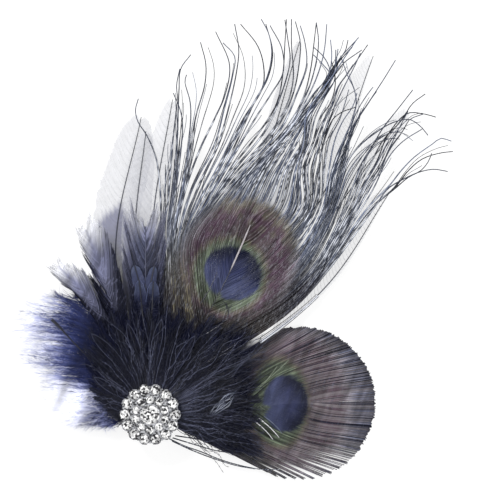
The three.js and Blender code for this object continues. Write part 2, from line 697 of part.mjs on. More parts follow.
// A cut stone: table, crown facets, girdle and pavilion.
function stoneGeometry(row, place) {
  const shell = new Shell();
  const radius = row.radius;
  const seat = SETTING_BASE + row.stepTop + STONE_CLEARANCE;
  const ring = (scale, z, phase) => circleOutline(place.x, place.y, radius * scale, STONE_SIDES, phase)
    .map((point) => shell.point(point.x, point.y, z));
  const girdleTop = seat + radius * STONE_CUT.girdle;
  const table = ring(STONE_CUT.table, girdleTop + radius * STONE_CUT.crown, 0.5);
  const upper = ring(1, girdleTop, 0);
  const lower = ring(1, seat, 0);
  const culet = shell.point(place.x, place.y, seat - radius * STONE_CUT.pavilion);
  for (let i = 0; i < STONE_SIDES; i += 1) {
    const after = (i + 1) % STONE_SIDES;
    shell.triangle(upper[i], upper[after], table[i]);
    shell.triangle(table[i], upper[after], table[after]);
    shell.quad(lower[i], lower[after], upper[after], upper[i]);
    shell.triangle(lower[after], lower[i], culet);
  }
  for (let i = 1; i + 1 < STONE_SIDES; i += 1) shell.triangle(table[0], table[i], table[i + 1]);
  return shell.geometry();
}

function namedMesh(name, geometry, paint) {
  const mesh = new THREE.Mesh(geometry, new THREE.MeshStandardMaterial(COLOURS[paint]));
  mesh.name = name;
  return mesh;
}

function buildStones(group) {
  for (const row of STONE_ROWS) {
    stonePlaces(row).forEach((place, index) => {
      const name = row.count > 1 ? `${row.name}_${index + 1}` : row.name;
      group.add(namedMesh(name, stoneGeometry(row, place), "stone"));
    });
  }
}

function buildHeadpiece() {
  const group = new THREE.Group();
  group.name = "feather_hair_clip";
  group.add(namedMesh("hair_clip", clipGeometry(), "steel"));
  group.add(namedMesh("brooch_setting", settingGeometry(), "silver"));
  buildStones(group);
  for (const row of FEATHERS) group.add(namedMesh(row.name, plainFeather(row), row.paint));
  group.add(namedMesh("large_peacock_feather", largePeacock(), "peacock"));
  group.add(namedMesh("small_peacock_feather", smallPeacock(), "eye"));
  group.add(namedMesh("blue_marabou", marabouPlume(), "marabou"));
  for (const fan of [UPPER_FAN, RIGHT_FAN, LOW_HERLS]) {
    group.add(namedMesh(fan.name, strandFan(fan), fan.paint));
  }
  return group;
}

export default buildHeadpiece();
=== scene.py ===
# Peacock feather hair clip with a round brooch: its looks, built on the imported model.
# The scene is in metres, and the tables below are in millimetres, as in the part's source.

import math

import bpy
import numpy as np
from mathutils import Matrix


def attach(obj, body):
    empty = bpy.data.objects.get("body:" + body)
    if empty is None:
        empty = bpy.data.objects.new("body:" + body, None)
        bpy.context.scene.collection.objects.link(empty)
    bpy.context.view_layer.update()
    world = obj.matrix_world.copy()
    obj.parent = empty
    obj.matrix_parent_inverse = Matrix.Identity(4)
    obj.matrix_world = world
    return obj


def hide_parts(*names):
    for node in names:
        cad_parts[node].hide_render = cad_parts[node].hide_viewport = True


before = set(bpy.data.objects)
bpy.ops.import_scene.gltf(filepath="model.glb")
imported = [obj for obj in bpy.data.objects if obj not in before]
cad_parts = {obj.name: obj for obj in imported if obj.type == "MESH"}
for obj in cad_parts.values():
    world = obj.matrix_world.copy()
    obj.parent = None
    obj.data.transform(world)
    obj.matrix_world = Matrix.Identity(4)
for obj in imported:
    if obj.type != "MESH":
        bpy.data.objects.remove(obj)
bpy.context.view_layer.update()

MM = 0.001
SEED = 20
random = np.random.default_rng(SEED)

UPWARD = (0.0, 0.0, 1.0)

# Material slots of the feather pieces: strands, horn shafts and thin webs.
STRANDS, HORN, WEB = range(3)

# Points along a shaft and along a stray quill, and along the fine lines that traced herls are read from.
SHAFT_STATIONS = 48
STRAY_STATIONS = 12
TRACE_FINENESS = 160

# Heights of the feather stack. A feather's level counts the feathers under it.
ROOT_HEIGHT = 7.8
REST_HEIGHT = 0.75
ROOT_RADIUS = 12
REST_RADIUS = 90
OPEN_RADIUS = 60
ROOT_PITCH = 0.9
OPEN_PITCH = 2.4
DROOP_SLOPE = 0.035
DROOP_LIMIT = 0.5

# How high stray quills, painted highlight stripes and pale outlines lie over their feather.
OVERLAY_LIFT = 0.9

# Colours, written as the screen shows them.
PALETTE = {
    "navy": "#333859", "navy_rim": "#12162c", "navy_light": "#4d5475", "green": "#475145",
    "green_light": "#74806c", "olive": "#6a6655", "gold": "#8c8463", "bronze": "#54464c",
    "bronze_dark": "#30272c", "bronze_light": "#8c868a", "purple": "#704f6c", "band": "#575563",
    "herl": "#1a2030", "herl_light": "#626b82", "silver": "#e4e8f2", "clear": "#bcbdc4",
    "clear_dark": "#7c7e88", "lavender": "#9a9dc0", "slate": "#4a4e66", "lobe_rim": "#6b758c",
    "black_blue": "#0a0d21", "ink": "#161b38", "ash": "#63677f", "royal": "#263062",
    "royal_deep": "#10173c", "periwinkle": "#8b92c0", "mist": "#dcdde6", "white": "#f4f5fa",
    "quill_dark": "#24202a",
}


def linear(hex_colour):
    """Linear light values of a screen colour."""
    screen = np.array([int(hex_colour[i:i + 2], 16) for i in (1, 3, 5)]) / 255
    return np.where(screen <= 0.04045, screen / 12.92, ((screen + 0.055) / 1.055) ** 2.4)


COLOUR = {name: linear(value) for name, value in PALETTE.items()}

# Plain feathers: root, bend and tip of the shaft, the share of it where the barbs begin, the widest half
# widths, how far the barbs sweep forward, how ragged they are, and where the dark part near the root ends.
FEATHERS = [
    dict(name="clear_feather_left_outer", look="clear", level=0, vane=0.12, left=10.0, right=9.0,
         blunt=True, dark_end=0.70, dark_slope=0.17, root=(-1.6, 5), bend=(-14.5, 66), tip=(-4, 122)),
    dict(name="clear_feather_left_middle", look="clear", level=1, vane=0.12, left=5.5, right=6.5,
         blunt=True, dark_end=0.62, dark_slope=0.14, root=(-0.6, 4), bend=(-6.5, 72), tip=(-2, 116)),
    dict(name="clear_feather_left_inner", look="clear", level=2, vane=0.12, left=7.0, right=6.5,
         blunt=True, dark_end=0.52, dark_slope=0.1, root=(0, -2), bend=(0.8, 78), tip=(9, 129)),
    dict(name="clear_feather_top", look="clear", level=0, vane=0.6, left=4.0, right=4.0,
         dark_end=0.0, dark_slope=0.1, root=(1.5, 4), bend=(41, 87), tip=(61.5, 154)),
    dict(name="clear_feather_right_upper", look="clear", level=1, vane=0.58, left=8.0, right=1.2,
         dark_end=0.0, dark_slope=0.1, root=(1.6, 3), bend=(66, 81), tip=(91.5, 147), cover=0.25),
    dict(name="clear_feather_right_middle", look="clear", level=0, vane=0.6, left=6.5, right=5.5,
         dark_end=0.0, dark_slope=0.1, root=(3, 3.4), bend=(62, 66), tip=(106, 125), cover=0.25),
    dict(name="clear_feather_right_low", look="clear", level=1, vane=0.42, left=9.0, right=1.2,
         dark_end=0.0, dark_slope=0.1, root=(4, 2), bend=(70, 50), tip=(99, 92), cover=0.2),
    dict(name="navy_hackle_lower", look="hackle", level=3, vane=0.2, left=5.4, right=4.6,
         sweep=3.4, ragged=0.04, dark_end=0.74, shaft=0.5,
         root=(-2, 3), bend=(-20, 41), tip=(-38, 61)),
    dict(name="navy_hackle_upper", look="hackle", level=4, vane=0.22, left=5.6, right=7.0,
         sweep=3.2, ragged=0.035, dark_end=0.72, shaft=0.5, open=(0.6, 0.78),
         root=(-2.2, 4), bend=(-19, 56), tip=(-26.5, 76)),
    dict(name="grey_centre_feather", look="grey", level=4, vane=0.22, left=8.5, right=8.5,
         sweep=3.0, ragged=0.06, root=(-0.2, 5), bend=(-1.6, 45), tip=(-2, 77)),
]
FEATHER_SLOTS = {"clear": "clear_vane", "hackle": "navy_vane", "grey": "grey_vane"}

# Usual sweep and raggedness of barbs, and barbs per streak of colour.
SWEEP = 1.1
RAGGED = 0.02
STREAK = 4

# How much of the light the thin web of a clear feather stops.
VANE_COVER = 0.42

# Painted highlight and shade along the quill of the lowest clear feather: shares of its shaft, then its
# stripes, bright for the highlight and dark for the shaded edges, each with its distance from the middle,
# half width and colour.
QUILL_HIGHLIGHT_SPAN = (0.37, 0.6)
QUILL_HIGHLIGHT_STRIPES = [(0.35, 0.42, "white"), (-0.55, 0.36, "silver"), (1.25, 0.2, "black_blue"),
                (0, 0.1, "lavender"), (-1.25, 0.2, "black_blue")]

# Small round feathers that lie on the grey centre feather.
GREY_LOBES = [
    dict(tint="navy_light", rim="black_blue", level=4.2, left=2.7, right=2.5,
         root=(-3.6, 50), bend=(-4.9, 55.5), tip=(-6.4, 61)),
    dict(tint="navy_light", rim="black_blue", level=4.3, left=2.2, right=2.2,
         root=(-0.6, 50), bend=(0.6, 55.5), tip=(1.7, 60.6)),
    dict(tint="navy", rim="navy_light", level=4.5, left=2.5, right=2.3,
         root=(-2.6, 36), bend=(-3.6, 46), tip=(-4.4, 54.8)),
    dict(tint="navy", rim="navy_light", level=4.6, left=2.6, right=2.8,
         root=(0.2, 36), bend=(0.9, 46), tip=(1.3, 54.4)),
]
LOBE_FORM = dict(look="lobe", vane=0.02, blunt=True, sweep=0.15)

# The large peacock feather and its shaft.
LARGE_LEVEL = 3
LARGE_SHAFT = [(1, 2.5), (9, 15), (20.5, 36), (29, 51), (36, 66), (42, 80)]

# Where its herls leave the shaft, and how they run up to their shoulders beside the eye: each row holds
# the share of the shaft, the shoulder's x, and two points on the way.
LEFT_RUNS = [
    (0.12, 4, 6.2, 34, 4.4, 60), (0.22, 8.5, 10, 40, 8.4, 62), (0.32, 12, 13, 48, 10.8, 66),
    (0.39, 24, 15.5, 50, 14.2, 70), (0.46, 28, 19, 54, 18.5, 72), (0.56, 33, 24.2, 57, 26, 70),
    (0.66, 37, 28.8, 62, 31, 73), (0.76, 41, 33.2, 68, 35.6, 76), (0.88, 45, 39, 75, 41, 80),
    (1.0, 49, 43.3, 82.5, 45, 84),
]
RIGHT_RUNS = [
    (0.97, 50, 43.5, 80, 46.5, 83), (0.82, 56.4, 42, 68.5, 50, 76), (0.66, 64.5, 41, 59, 54, 71.5),
    (0.46, 72.4, 40, 46, 60, 62), (0.33, 79.5, 38, 38, 64, 57), (0.22, 86, 35, 29.5, 62, 48),
    (0.12, 92, 30, 24, 60, 44.5),
]

# Its traced herls, from the outer left round the tip to the outer right, each from its shoulder to its tip.
LEFT_HERLS = [
    [(4.1, 74.8), (4.2, 87.2), (2.4, 104.2), (-1.6, 114.3), (-5.1, 119.7), (-6.2, 124.5), (-5, 129.3)],
    [(5.7, 78.1), (7, 85.9), (9, 110.6), (10.2, 121.1), (11, 129.6), (10.7, 134.7), (12, 141.5)],
    [(7.3, 78.1), (8.7, 87.2), (10.8, 110.6), (11.3, 122.8), (11.7, 133), (12.4, 141.5), (16.5, 147.3)],
    [(8.3, 78.1), (10.3, 91.2), (12.7, 110.6), (13.1, 119.4), (12, 125.2), (9.3, 131.6)],
    [(9.6, 78.1), (12.6, 91.2), (15.4, 110.6), (16.5, 121.1), (16.2, 128.2), (14.1, 136.4), (14.8, 139.1)],
    [(10.3, 76.8), (13.9, 92.5), (16.6, 110.6), (18.8, 122.8), (22.2, 134.7), (22.7, 143.2), (20.5, 152.4)],
    [(11.3, 78.1), (14.5, 92.5), (20.4, 108.8), (26.3, 121.1), (30.7, 131.3), (32.4, 143.2), (26.7, 156.8)],
    [(12.6, 78.1), (17.2, 92.5), (26.3, 110.6), (30.1, 124.5), (33.8, 139.1), (34.5, 146.6), (29.7, 152.2)],
    [(14.5, 79.4), (20.4, 95.1), (27.7, 110.6), (31.8, 124.5), (35.2, 139.8), (36.2, 149.3), (34.5, 159.9)],
    [(20.3, 87.4), (28.5, 102.4), (38, 120.8), (45.9, 133.7), (46.4, 142.5), (43.9, 151), (36.9, 159.9)],
    [(21.7, 87.4), (30.5, 104.4), (41.5, 126.2), (47.3, 136.7),
     (49.7, 147.3), (48.5, 155.8), (45.4, 161.9)],
    [(22.7, 87.4), (32.6, 105.8), (42.5, 127.6), (48.1, 137.8), (50.1, 148.3), (47.3, 159.9)],
    [(23.7, 87.4), (33.3, 104.4), (42.9, 121.1), (49.3, 131), (54.3, 139.8), (53.9, 149.7), (49, 159.3)],
    [(24.4, 86.8), (33.9, 101.7), (44.2, 115), (51.7, 127.2), (54.4, 140.5), (55.1, 151.7), (55.8, 161.9)],
    [(24.8, 86.4), (33.9, 99.7), (47, 116), (53.1, 129.6), (57.2, 144.6), (56.3, 153.7), (55.1, 161.6)],
    [(25.4, 86.1), (33.9, 97.6), (49.3, 115.3), (55.8, 126.5), (58.5, 137.1), (57.8, 151.7), (57.8, 161.9)],
    [(26.1, 85.7), (36, 98.3), (52.1, 117.7), (58.5, 131.3), (60.9, 143.2), (61.4, 152.4), (59.4, 160.9)],
    [(27.1, 85.4), (37.3, 98.3), (53.8, 117.4), (59.9, 131.3), (64, 143.2), (63.3, 152.4), (61.4, 159.2)],
    [(28.5, 85.1), (38.7, 98.3), (55.5, 117), (62.6, 129.6), (65.7, 141.5), (67, 151.7), (68, 160.5)],
    [(29.9, 84.7), (40.1, 98.7), (56.1, 117.4), (64.3, 132), (67.7, 143.2), (68.9, 152.4), (68, 160.5)],
    [(31.6, 84.7), (41.4, 99), (56.8, 117), (66, 133), (69.7, 142.5), (71.4, 150), (72.3, 159.9)],
    [(32.9, 84.7), (42.8, 99.7), (57.2, 117), (66.7, 131), (73.5, 139.8), (71.4, 145.9), (67, 150.3)],
    [(34.3, 84.7), (43.8, 100), (57.8, 117.4), (68.7, 131), (74, 138.4), (70.8, 143.2), (66.8, 147.3)],
    [(36, 84.7), (44.8, 100.4), (58.5, 118), (69.1, 131), (73.5, 140.5), (74.3, 147.3), (73.8, 153.4)],
    [(37.3, 84.7), (45.8, 100.4), (59.2, 118.4), (69.7, 132.3), (75.9, 143.2), (79.9, 149), (81, 153.4)],
    [(39, 84.7), (46.9, 100.4), (59.9, 119.1), (70.8, 134.4), (75.5, 142.5), (82.7, 150.3)],
    [(41.4, 84.7), (48.9, 100.4), (61.2, 119.4), (71.4, 134), (76.5, 144.2), (85.4, 154.4)],
    [(44.8, 84.7), (50.9, 97.6), (59.9, 114.6), (64.6, 122.8), (70.8, 130.3), (75.2, 139.8), (76.9, 149.7)],
    [(47.5, 84.7), (54.3, 100.4), (62.6, 116), (66.7, 124.5), (72.5, 133), (75.5, 141.5), (76, 149.3)],
]
RIGHT_HERLS = [
    [(50.3, 84.7), (55.7, 100.4), (63.3, 113.3), (64, 121.1), (69.1, 129.6), (74.8, 137.8), (77.6, 145.9)],
    [(53, 84.7), (57.7, 101), (62.6, 112.6), (64, 122.8), (71.4, 133), (76.5, 143.2), (83, 151)],
    [(56.4, 84.7), (59.8, 101), (62.9, 111.9), (63.6, 121.1), (66.7, 127.9), (73.5, 137.1), (85, 154.1)],
    [(59.1, 84.7), (60.8, 101), (64, 111.6), (65.3, 122.8), (71.4, 133), (78.9, 143.5), (86.7, 149.3)],
    [(61.1, 84.7), (61.1, 101), (65.3, 111.6), (67.4, 121.1), (71.4, 129.6), (75.5, 137.1), (75.3, 143.2)],
    [(62.8, 84.7), (62.8, 101), (66.7, 111.6), (69.4, 121.1),
     (73.5, 126.9), (75.5, 133), (75.7, 138.4), (74.2, 144.6)],
    [(64.5, 84.7), (64.5, 101), (68, 111.2), (71.4, 120.1), (75.2, 127.9),
     (77.2, 134.4), (81, 139.8), (89.1, 151.4)],
    [(66.2, 84.7), (66.6, 101), (69.7, 111.2), (73.5, 121.1),
     (76.9, 128.9), (79.3, 134), (83.3, 141.8), (86.1, 148)],
    [(67.9, 84.7), (69.3, 101), (71.4, 112.6), (74.8, 120.8), (78.6, 123.8), (84, 125.7)],
    [(69.3, 84.7), (71.3, 100.4), (73.5, 112.6), (77.6, 120.8), (79.9, 127.9), (81.3, 133)],
    [(70.7, 84.7), (73, 99), (75.5, 111.9), (78.9, 120.1), (83, 126.2), (84.7, 131.6)],
    [(71.7, 84.7), (74.1, 97.6), (78.9, 111.6), (82.7, 120.4),
     (84.4, 127.9), (83.3, 133.7), (81, 138.4), (77.9, 146.9)],
    [(72.4, 84.4), (75.4, 97.6), (79.8, 108.4), (83.5, 121.3), (86.2, 126.8), (88.9, 130.9), (91.3, 134.1)],
    [(73.4, 84.4), (76.8, 97.6), (80.4, 109.4), (84.2, 119.3), (90, 128.5), (95.7, 137.3), (100.5, 145.1)],
    [(74.1, 84.4), (78.1, 97.5), (80.8, 106), (81.8, 112.8), (84.9, 120.7), (88.3, 126.1), (92.7, 132.2)],
    [(74.7, 84.4), (78.7, 96.9), (81.3, 104.3), (85.2, 109.4), (91.7, 114.9),
     (99.5, 119.5), (106.3, 120.7), (110.7, 117.9), (113.8, 114.2)],
    [(79.5, 84.4), (83.8, 95.5), (87.2, 104), (92, 110.1), (95.4, 112.2), (100.2, 113.2)],
    [(80.5, 84.4), (84.9, 94.8), (88.3, 104.7), (92.7, 112.8),
     (95.4, 117.3), (101.5, 125.1), (107.6, 132.9)],
    [(81.9, 84.4), (86.2, 94.8), (90.6, 103.3), (95.4, 112.2),
     (102.9, 120.3), (107.3, 127.1), (112.7, 131.2)],
    [(82.9, 84.4), (87.2, 94.1), (92.7, 103.3), (97.4, 114.5), (105.3, 123.2), (112.1, 123), (117, 121.7)],
    [(84.2, 84.4), (88.9, 94.1), (94, 100.9), (98.8, 109.8),
     (103.6, 116.2), (106.3, 120.7), (111.7, 122.9)],
    [(85.3, 84.4), (90.6, 93.5), (95.4, 102.3), (97.1, 107.1),
     (100.2, 113.5), (103.2, 119.6), (105.6, 124.1)],
    [(86.6, 84.4), (92, 93.5), (95.7, 101.6), (99.5, 107.7), (104.2, 112.3), (111.4, 116.8)],
    [(89, 84.4), (98.1, 93.8), (102.9, 99.9), (108.3, 105.4), (115.8, 110.8), (119, 113), (123.4, 111.8)],
    [(90.4, 84.4), (100.2, 92.8), (105.6, 99.6), (111.4, 104.5), (118.5, 106.9), (124, 107.6)],
    [(91, 84.4), (100.8, 92.8), (105.6, 96.9), (111, 99.9), (114.1, 103.7), (115.3, 106.9)],
    [(91.7, 84.4), (97.1, 92.1), (103.6, 96.2), (110.4, 99.2), (116.1, 100.3), (121.9, 99.4)],
]

# Herls that fill the room between the traced ones: their number, and the share of the length that the
# shortest keeps.
FILLED_HERLS = [(160, 0.42), (44, 0.75)]

# Points along each herl, how many of them the web between the herls follows, and the rows of the web.
HERL_STATIONS = 72
WEB_STATIONS = 41
WEB_ROWS = 260

# How far the web reaches left of the first herl, and how much light it still stops beyond the eye.
WEB_MARGIN = 3.5
WEB_HAZE = 0.35

# How much wider the traced herls, and those between them, become beyond the eye.
BROAD_HERL = 0.26
FINE_HERL = 0.06

# Eyes of the two peacock feathers: the turn of their nested ellipses, the centre and half sizes of each,
# the tip and foot of the wedge that cuts into the pupil, the colour beyond the bronze ring, and how strong
# the olive crown and the purple ring are.
LARGE_EYE = dict(
    turn=-28, pupil=(33.7, 57.6, 12.1, 10.8), green=(32.2, 56.8, 15.4, 15.4),
    bronze=(35.6, 62.0, 23.0, 26.0), notch=(29.0, 50.0), base=(24.0, 43.0),
    beyond="herl", crown=1, purple=0.85)
SMALL_EYE = dict(
    turn=-88, pupil=(55.4, 4.1, 11.6, 9.3), green=(52.6, 4.4, 18.4, 12.2),
    bronze=(59.5, 4.9, 30.5, 23.0), notch=(49.5, 3.0), base=(38.0, -1.0),
    beyond="band", crown=0, purple=0.3)

# The small peacock feather, trimmed round.
SMALL_LEVEL = 0
SMALL_SHAFT = [(4, 0), (34, 1.5), (56, 4), (84, 5)]
SMALL_DISC = dict(centre=(61.5, 4.5), radius=31)

# Its barbs on each side and the points along each, then how they run above and below the shaft: share of
# the shaft, a point on the way, and where the rim is met in degrees.
SMALL_BARBS = 150
SMALL_STATIONS = 30
SMALL_UPPER = [
    (0.04, 30, 20, 103), (0.12, 38, 20, 88), (0.22, 44, 19, 70), (0.34, 50, 17, 50),
    (0.48, 59, 14, 32), (0.62, 68, 9.5, 16), (0.8, 80, 5.1, 1.6)]
SMALL_LOWER = [
    (0.04, 26, -12.5, -114), (0.12, 33, -14, -99), (0.22, 41, -13, -76), (0.34, 49, -11, -54),
    (0.48, 59, -7, -34), (0.62, 69, -2, -16), (0.8, 80, 4.6, 0.8)]

# Stray quills that lie over the small feather and over the large eye: start, end and colour.
SMALL_STRAYS = [
    ((42.5, 9.8), (56.8, 22.1), "green_light"), ((41.5, 7.4), (52.0, 19.5), "green_light"),
    ((44.1, -1.6), (52.7, -9.8), "white"), ((42.4, -2.8), (50.2, -10.6), "white"),
    ((46.5, -1.0), (54.0, -8.2), "herl_light"),
]
EYE_STRAYS = [
    ((20.7, 45.5), (27.3, 58.2), "black_blue"), ((31.7, 39.4), (31.0, 45.9), "black_blue"),
    ((31.2, 43.2), (29.6, 46.4), "black_blue"), ((23.0, 33.0), (31.7, 39.4), "black_blue"),
]

# Fans of dark strands: numbers of narrow feathers and loose strands, then direction in degrees and reach.
UPPER_FAN = dict(name="dark_fan_upper", level=5, hackles=26, strands=260, rows=[
    (196, 13.5), (165, 23), (140, 36), (122, 46), (105, 50), (92, 52), (75, 47), (58, 46)])
RIGHT_FAN = dict(name="dark_fan_right", level=4, hackles=20, strands=420, rows=[
    (60, 50), (45, 55), (36, 58), (25, 54), (12, 47), (-8, 47), (-20, 52), (-27, 40)])

# Silvery strokes on the right fan: their number, and the line that they lie along.
SILVER_STROKES = 24
SILVER_PATCH = [(24.5, -0.5), (35.5, 9.5)]

# The plume on the left: its barbs, the fluff on each, its height at the brooch and further out, its rim
# from the lower edge upwards as Y and X, and the dark quill over it.
PLUME_BARBS = 520
PLUME_FLUFF = 56
PLUME_ROOT = 8.1
PLUME_MIDDLE = 4.6
MARABOU_EDGE = [(-5, -28), (-1, -36), (7, -38.5), (15, -41), (26, -47), (38, -49.5), (46, -43), (49, -34)]
MARABOU_QUILL = [(-14, 12), (-26, 24), (-32, 30), (-36.5, 35), (-40.4, 38.8)]

# Loose herls below the brooch.
LOW_HERLS = [
    [(7.2, -9.8), (14.2, -13.1), (20.3, -15.2), (28.5, -18.5), (36.7, -20.9), (45.8, -22.6), (53.1, -22.6)],
    [(8.9, -11), (16.2, -14.4), (24.4, -17.6), (34.7, -20.9), (42.9, -22.4)],
    [(9.1, -9.7), (20.3, -13.1), (26.5, -14.8), (32.6, -15.6), (38, -14.8)],
    [(10.2, -8.8), (22.4, -10.7), (30.6, -12.3), (38.8, -15.6), (44.1, -18.9)],
]

# Brooch: rows of stones, as in the part's source.
SETTING_BASE = 12.9
STONE_ROWS = [
    dict(name="centre_stone", count=1, ring=0, radius=3.9, top=4.0, phase=0),
    dict(name="inner_stone", count=10, ring=6.15, radius=1.6, top=3.3, phase=18),
    dict(name="outer_stone", count=14, ring=10.15, radius=1.95, top=2.3, phase=0),
]
STONE_CLEARANCE = 0.2

# A cut stone of radius one: rings with their radius, height, turn in steps and corners, then its point.
CUT_RINGS = [(0.56, 0.44, 0.5, 8), (0.8, 0.29, 0.0, 8), (1.0, 0.08, 0.0, 16), (1.0, -0.06, 0.0, 16)]
CUT_POINT = -0.6

# How the flecks of the strands are drawn out: the way they run, in degrees from the Y axis, and how much.
GRAIN_TURN = 22
GRAIN_STRETCH = 0.22

# Stage, in metres. The paper below is lit from behind, so it stays white between the strands.
PAPER_GLOW = 0.8
WORLD_GLOW = 0.62
CAMERA_PLACE = (0.0408, 0.0672, 1.6)
SENSOR_WIDTH = 36
FOCUS_HEIGHT = 0.008
VIEW_WIDTH = 0.205
LAMP_TARGET = (0.041, 0.067, 0.01)
LAMPS = [
    dict(name="key", place=(-0.35, 0.55, 0.75), size=0.25, power=6),
    dict(name="fill", place=(0.6, -0.2, 0.8), size=0.6, power=3),
]


def smoothstep(value, low, high):
    share = np.clip((value - low) / (high - low), 0, 1)
    return share * share * (3 - 2 * share)


def fade(value, low, high):
    """A share that falls from one at the low value to nothing at the high one."""
    return 1 - smoothstep(value, low, high)


def height_at(x, y, level):
    """Middle height of a feather of the given level, in millimetres."""
    radius = np.hypot(x, y)
    base = ROOT_HEIGHT + (REST_HEIGHT - ROOT_HEIGHT) * smoothstep(radius, ROOT_RADIUS, REST_RADIUS)
    pitch = ROOT_PITCH + (OPEN_PITCH - ROOT_PITCH) * smoothstep(radius, ROOT_RADIUS, OPEN_RADIUS)
    return base + level * pitch


def unit(vectors):
    """Directions of length one."""
    return vectors / (np.linalg.norm(vectors, axis=-1, keepdims=True) + 1e-12)


def left_of(heading):
    """Flat directions, turned a quarter to the left."""
    return np.stack([-heading[..., 1], heading[..., 0]], axis=-1)


def sideways(flat, amount):
    """Moves lines aside by the given amounts."""
    return flat + left_of(unit(np.gradient(flat, axis=1))) * amount[..., None]


def polar(angle, radius):
    """Flat points in directions given in degrees."""
    turn = np.radians(angle)
    return np.stack([np.cos(turn) * radius, np.sin(turn) * radius], axis=-1)


def spline(controls, shares):
    """Points at the given shares of smooth curves through each row of control points."""
    controls = np.asarray(controls, float)
    before = 2 * controls[:, :1] - controls[:, 1:2]
    after = 2 * controls[:, -1:] - controls[:, -2:-1]
    padded = np.concatenate([before, controls, after], axis=1)
    spans = controls.shape[1] - 1
    place = np.clip(np.asarray(shares, float) * spans, 0, spans - 1e-9)
    index = place.astype(int)
    t = (place - index)[None, :, None]
    p0, p1, p2, p3 = (padded[:, index + k] for k in range(4))
    gap = [np.linalg.norm(b - a, axis=2, keepdims=True) ** 0.5 + 1e-9
           for a, b in ((p0, p1), (p1, p2), (p2, p3))]
    start = ((p1 - p0) / gap[0] - (p2 - p0) / (gap[0] + gap[1]) + (p2 - p1) / gap[1]) * gap[1]
    end = ((p2 - p1) / gap[1] - (p3 - p1) / (gap[1] + gap[2]) + (p3 - p2) / gap[2]) * gap[1]
    return (p1 + start * t + (3 * (p2 - p1) - 2 * start - end) * t ** 2
            + (2 * (p1 - p2) + start + end) * t ** 3)


def length_shares(steps):
    """Shares of the whole length at which its steps begin and end."""
    return np.concatenate([[0], np.cumsum(steps)]) / steps.sum()


def read_at(points, along, shares):
    """Flat points read at shares of the way along their line."""
    return np.stack([np.interp(shares, along, points[:, k]) for k in range(2)], axis=1)


def even_points(controls, shares, fineness=400):
    """Points and headings at shares of the length of one smooth curve."""
    fine = spline([controls], np.linspace(0, 1, fineness))[0]
    along = length_shares(np.linalg.norm(np.diff(fine, axis=0), axis=1))
    slopes = read_at(np.gradient(fine, along, axis=0), along, shares)
    return read_at(fine, along, shares), unit(slopes)


def lines_at(lines, place):
    """Lines between neighbouring ones, at the given places in their row."""
    index = np.minimum(place.astype(int), len(lines) - 2)
    part = (place - index)[:, None, None]
    return lines[index] * (1 - part) + lines[index + 1] * part


def spots_along(paths, shares):
    """Where shares of the way along each path fall: its row, the point before, and the rest."""
    rows, stations, _ = paths.shape
    place = np.broadcast_to(shares * (stations - 1), (rows, shares.shape[-1]))
    index = np.minimum(place.astype(int), stations - 2)
    return np.arange(rows)[:, None], index, (place - index)[..., None]


def value_at(values, row, index, part):
    """What lies between two neighbouring points."""
    return values[row, index] * (1 - part) + values[row, index + 1] * part


def column(rows, index, shares):
    """A column of a table read at shares of the way down it."""
    place = np.asarray(shares) * (len(rows) - 1)
    return np.interp(place, np.arange(len(rows)), [row[index] for row in rows])


def wave(shape, sizes, scale=1.0):
    """Smooth random values along the last axis: sums of sines of the given cycle counts."""
    place = np.linspace(0, 1, shape[-1])
    total = np.zeros(shape)
    for cycles in sizes:
        phase = random.uniform(0, 2 * math.pi, shape[:-1] + (1,))
        height = random.normal(0, 1, shape[:-1] + (1,))
        total += height * np.sin(2 * math.pi * cycles * place + phase) / len(sizes)
    return total * scale


def blend(base, colour, share):
    return base + (np.asarray(colour) - base) * np.asarray(share)[..., None]


def shade_of(colour):
    return COLOUR[colour] if isinstance(colour, str) else colour


def plain(colour, like):
    """One colour for every value of an array."""
    return np.broadcast_to(shade_of(colour), like.shape + (3,))


def layered(tint, *layers):
    """Colours laid over a tint one after another, each with its share."""
    for colour, share in layers:
        tint = blend(tint, shade_of(colour), share)
    return tint


def add_object(name, data):
    thing = bpy.data.objects.new(name, data)
    bpy.context.scene.collection.objects.link(thing)
    return thing


def place_piece(piece, slot, *nodes):
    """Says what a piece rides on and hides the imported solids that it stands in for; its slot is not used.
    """
    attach(piece, "root")
    if nodes:
        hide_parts(*nodes)


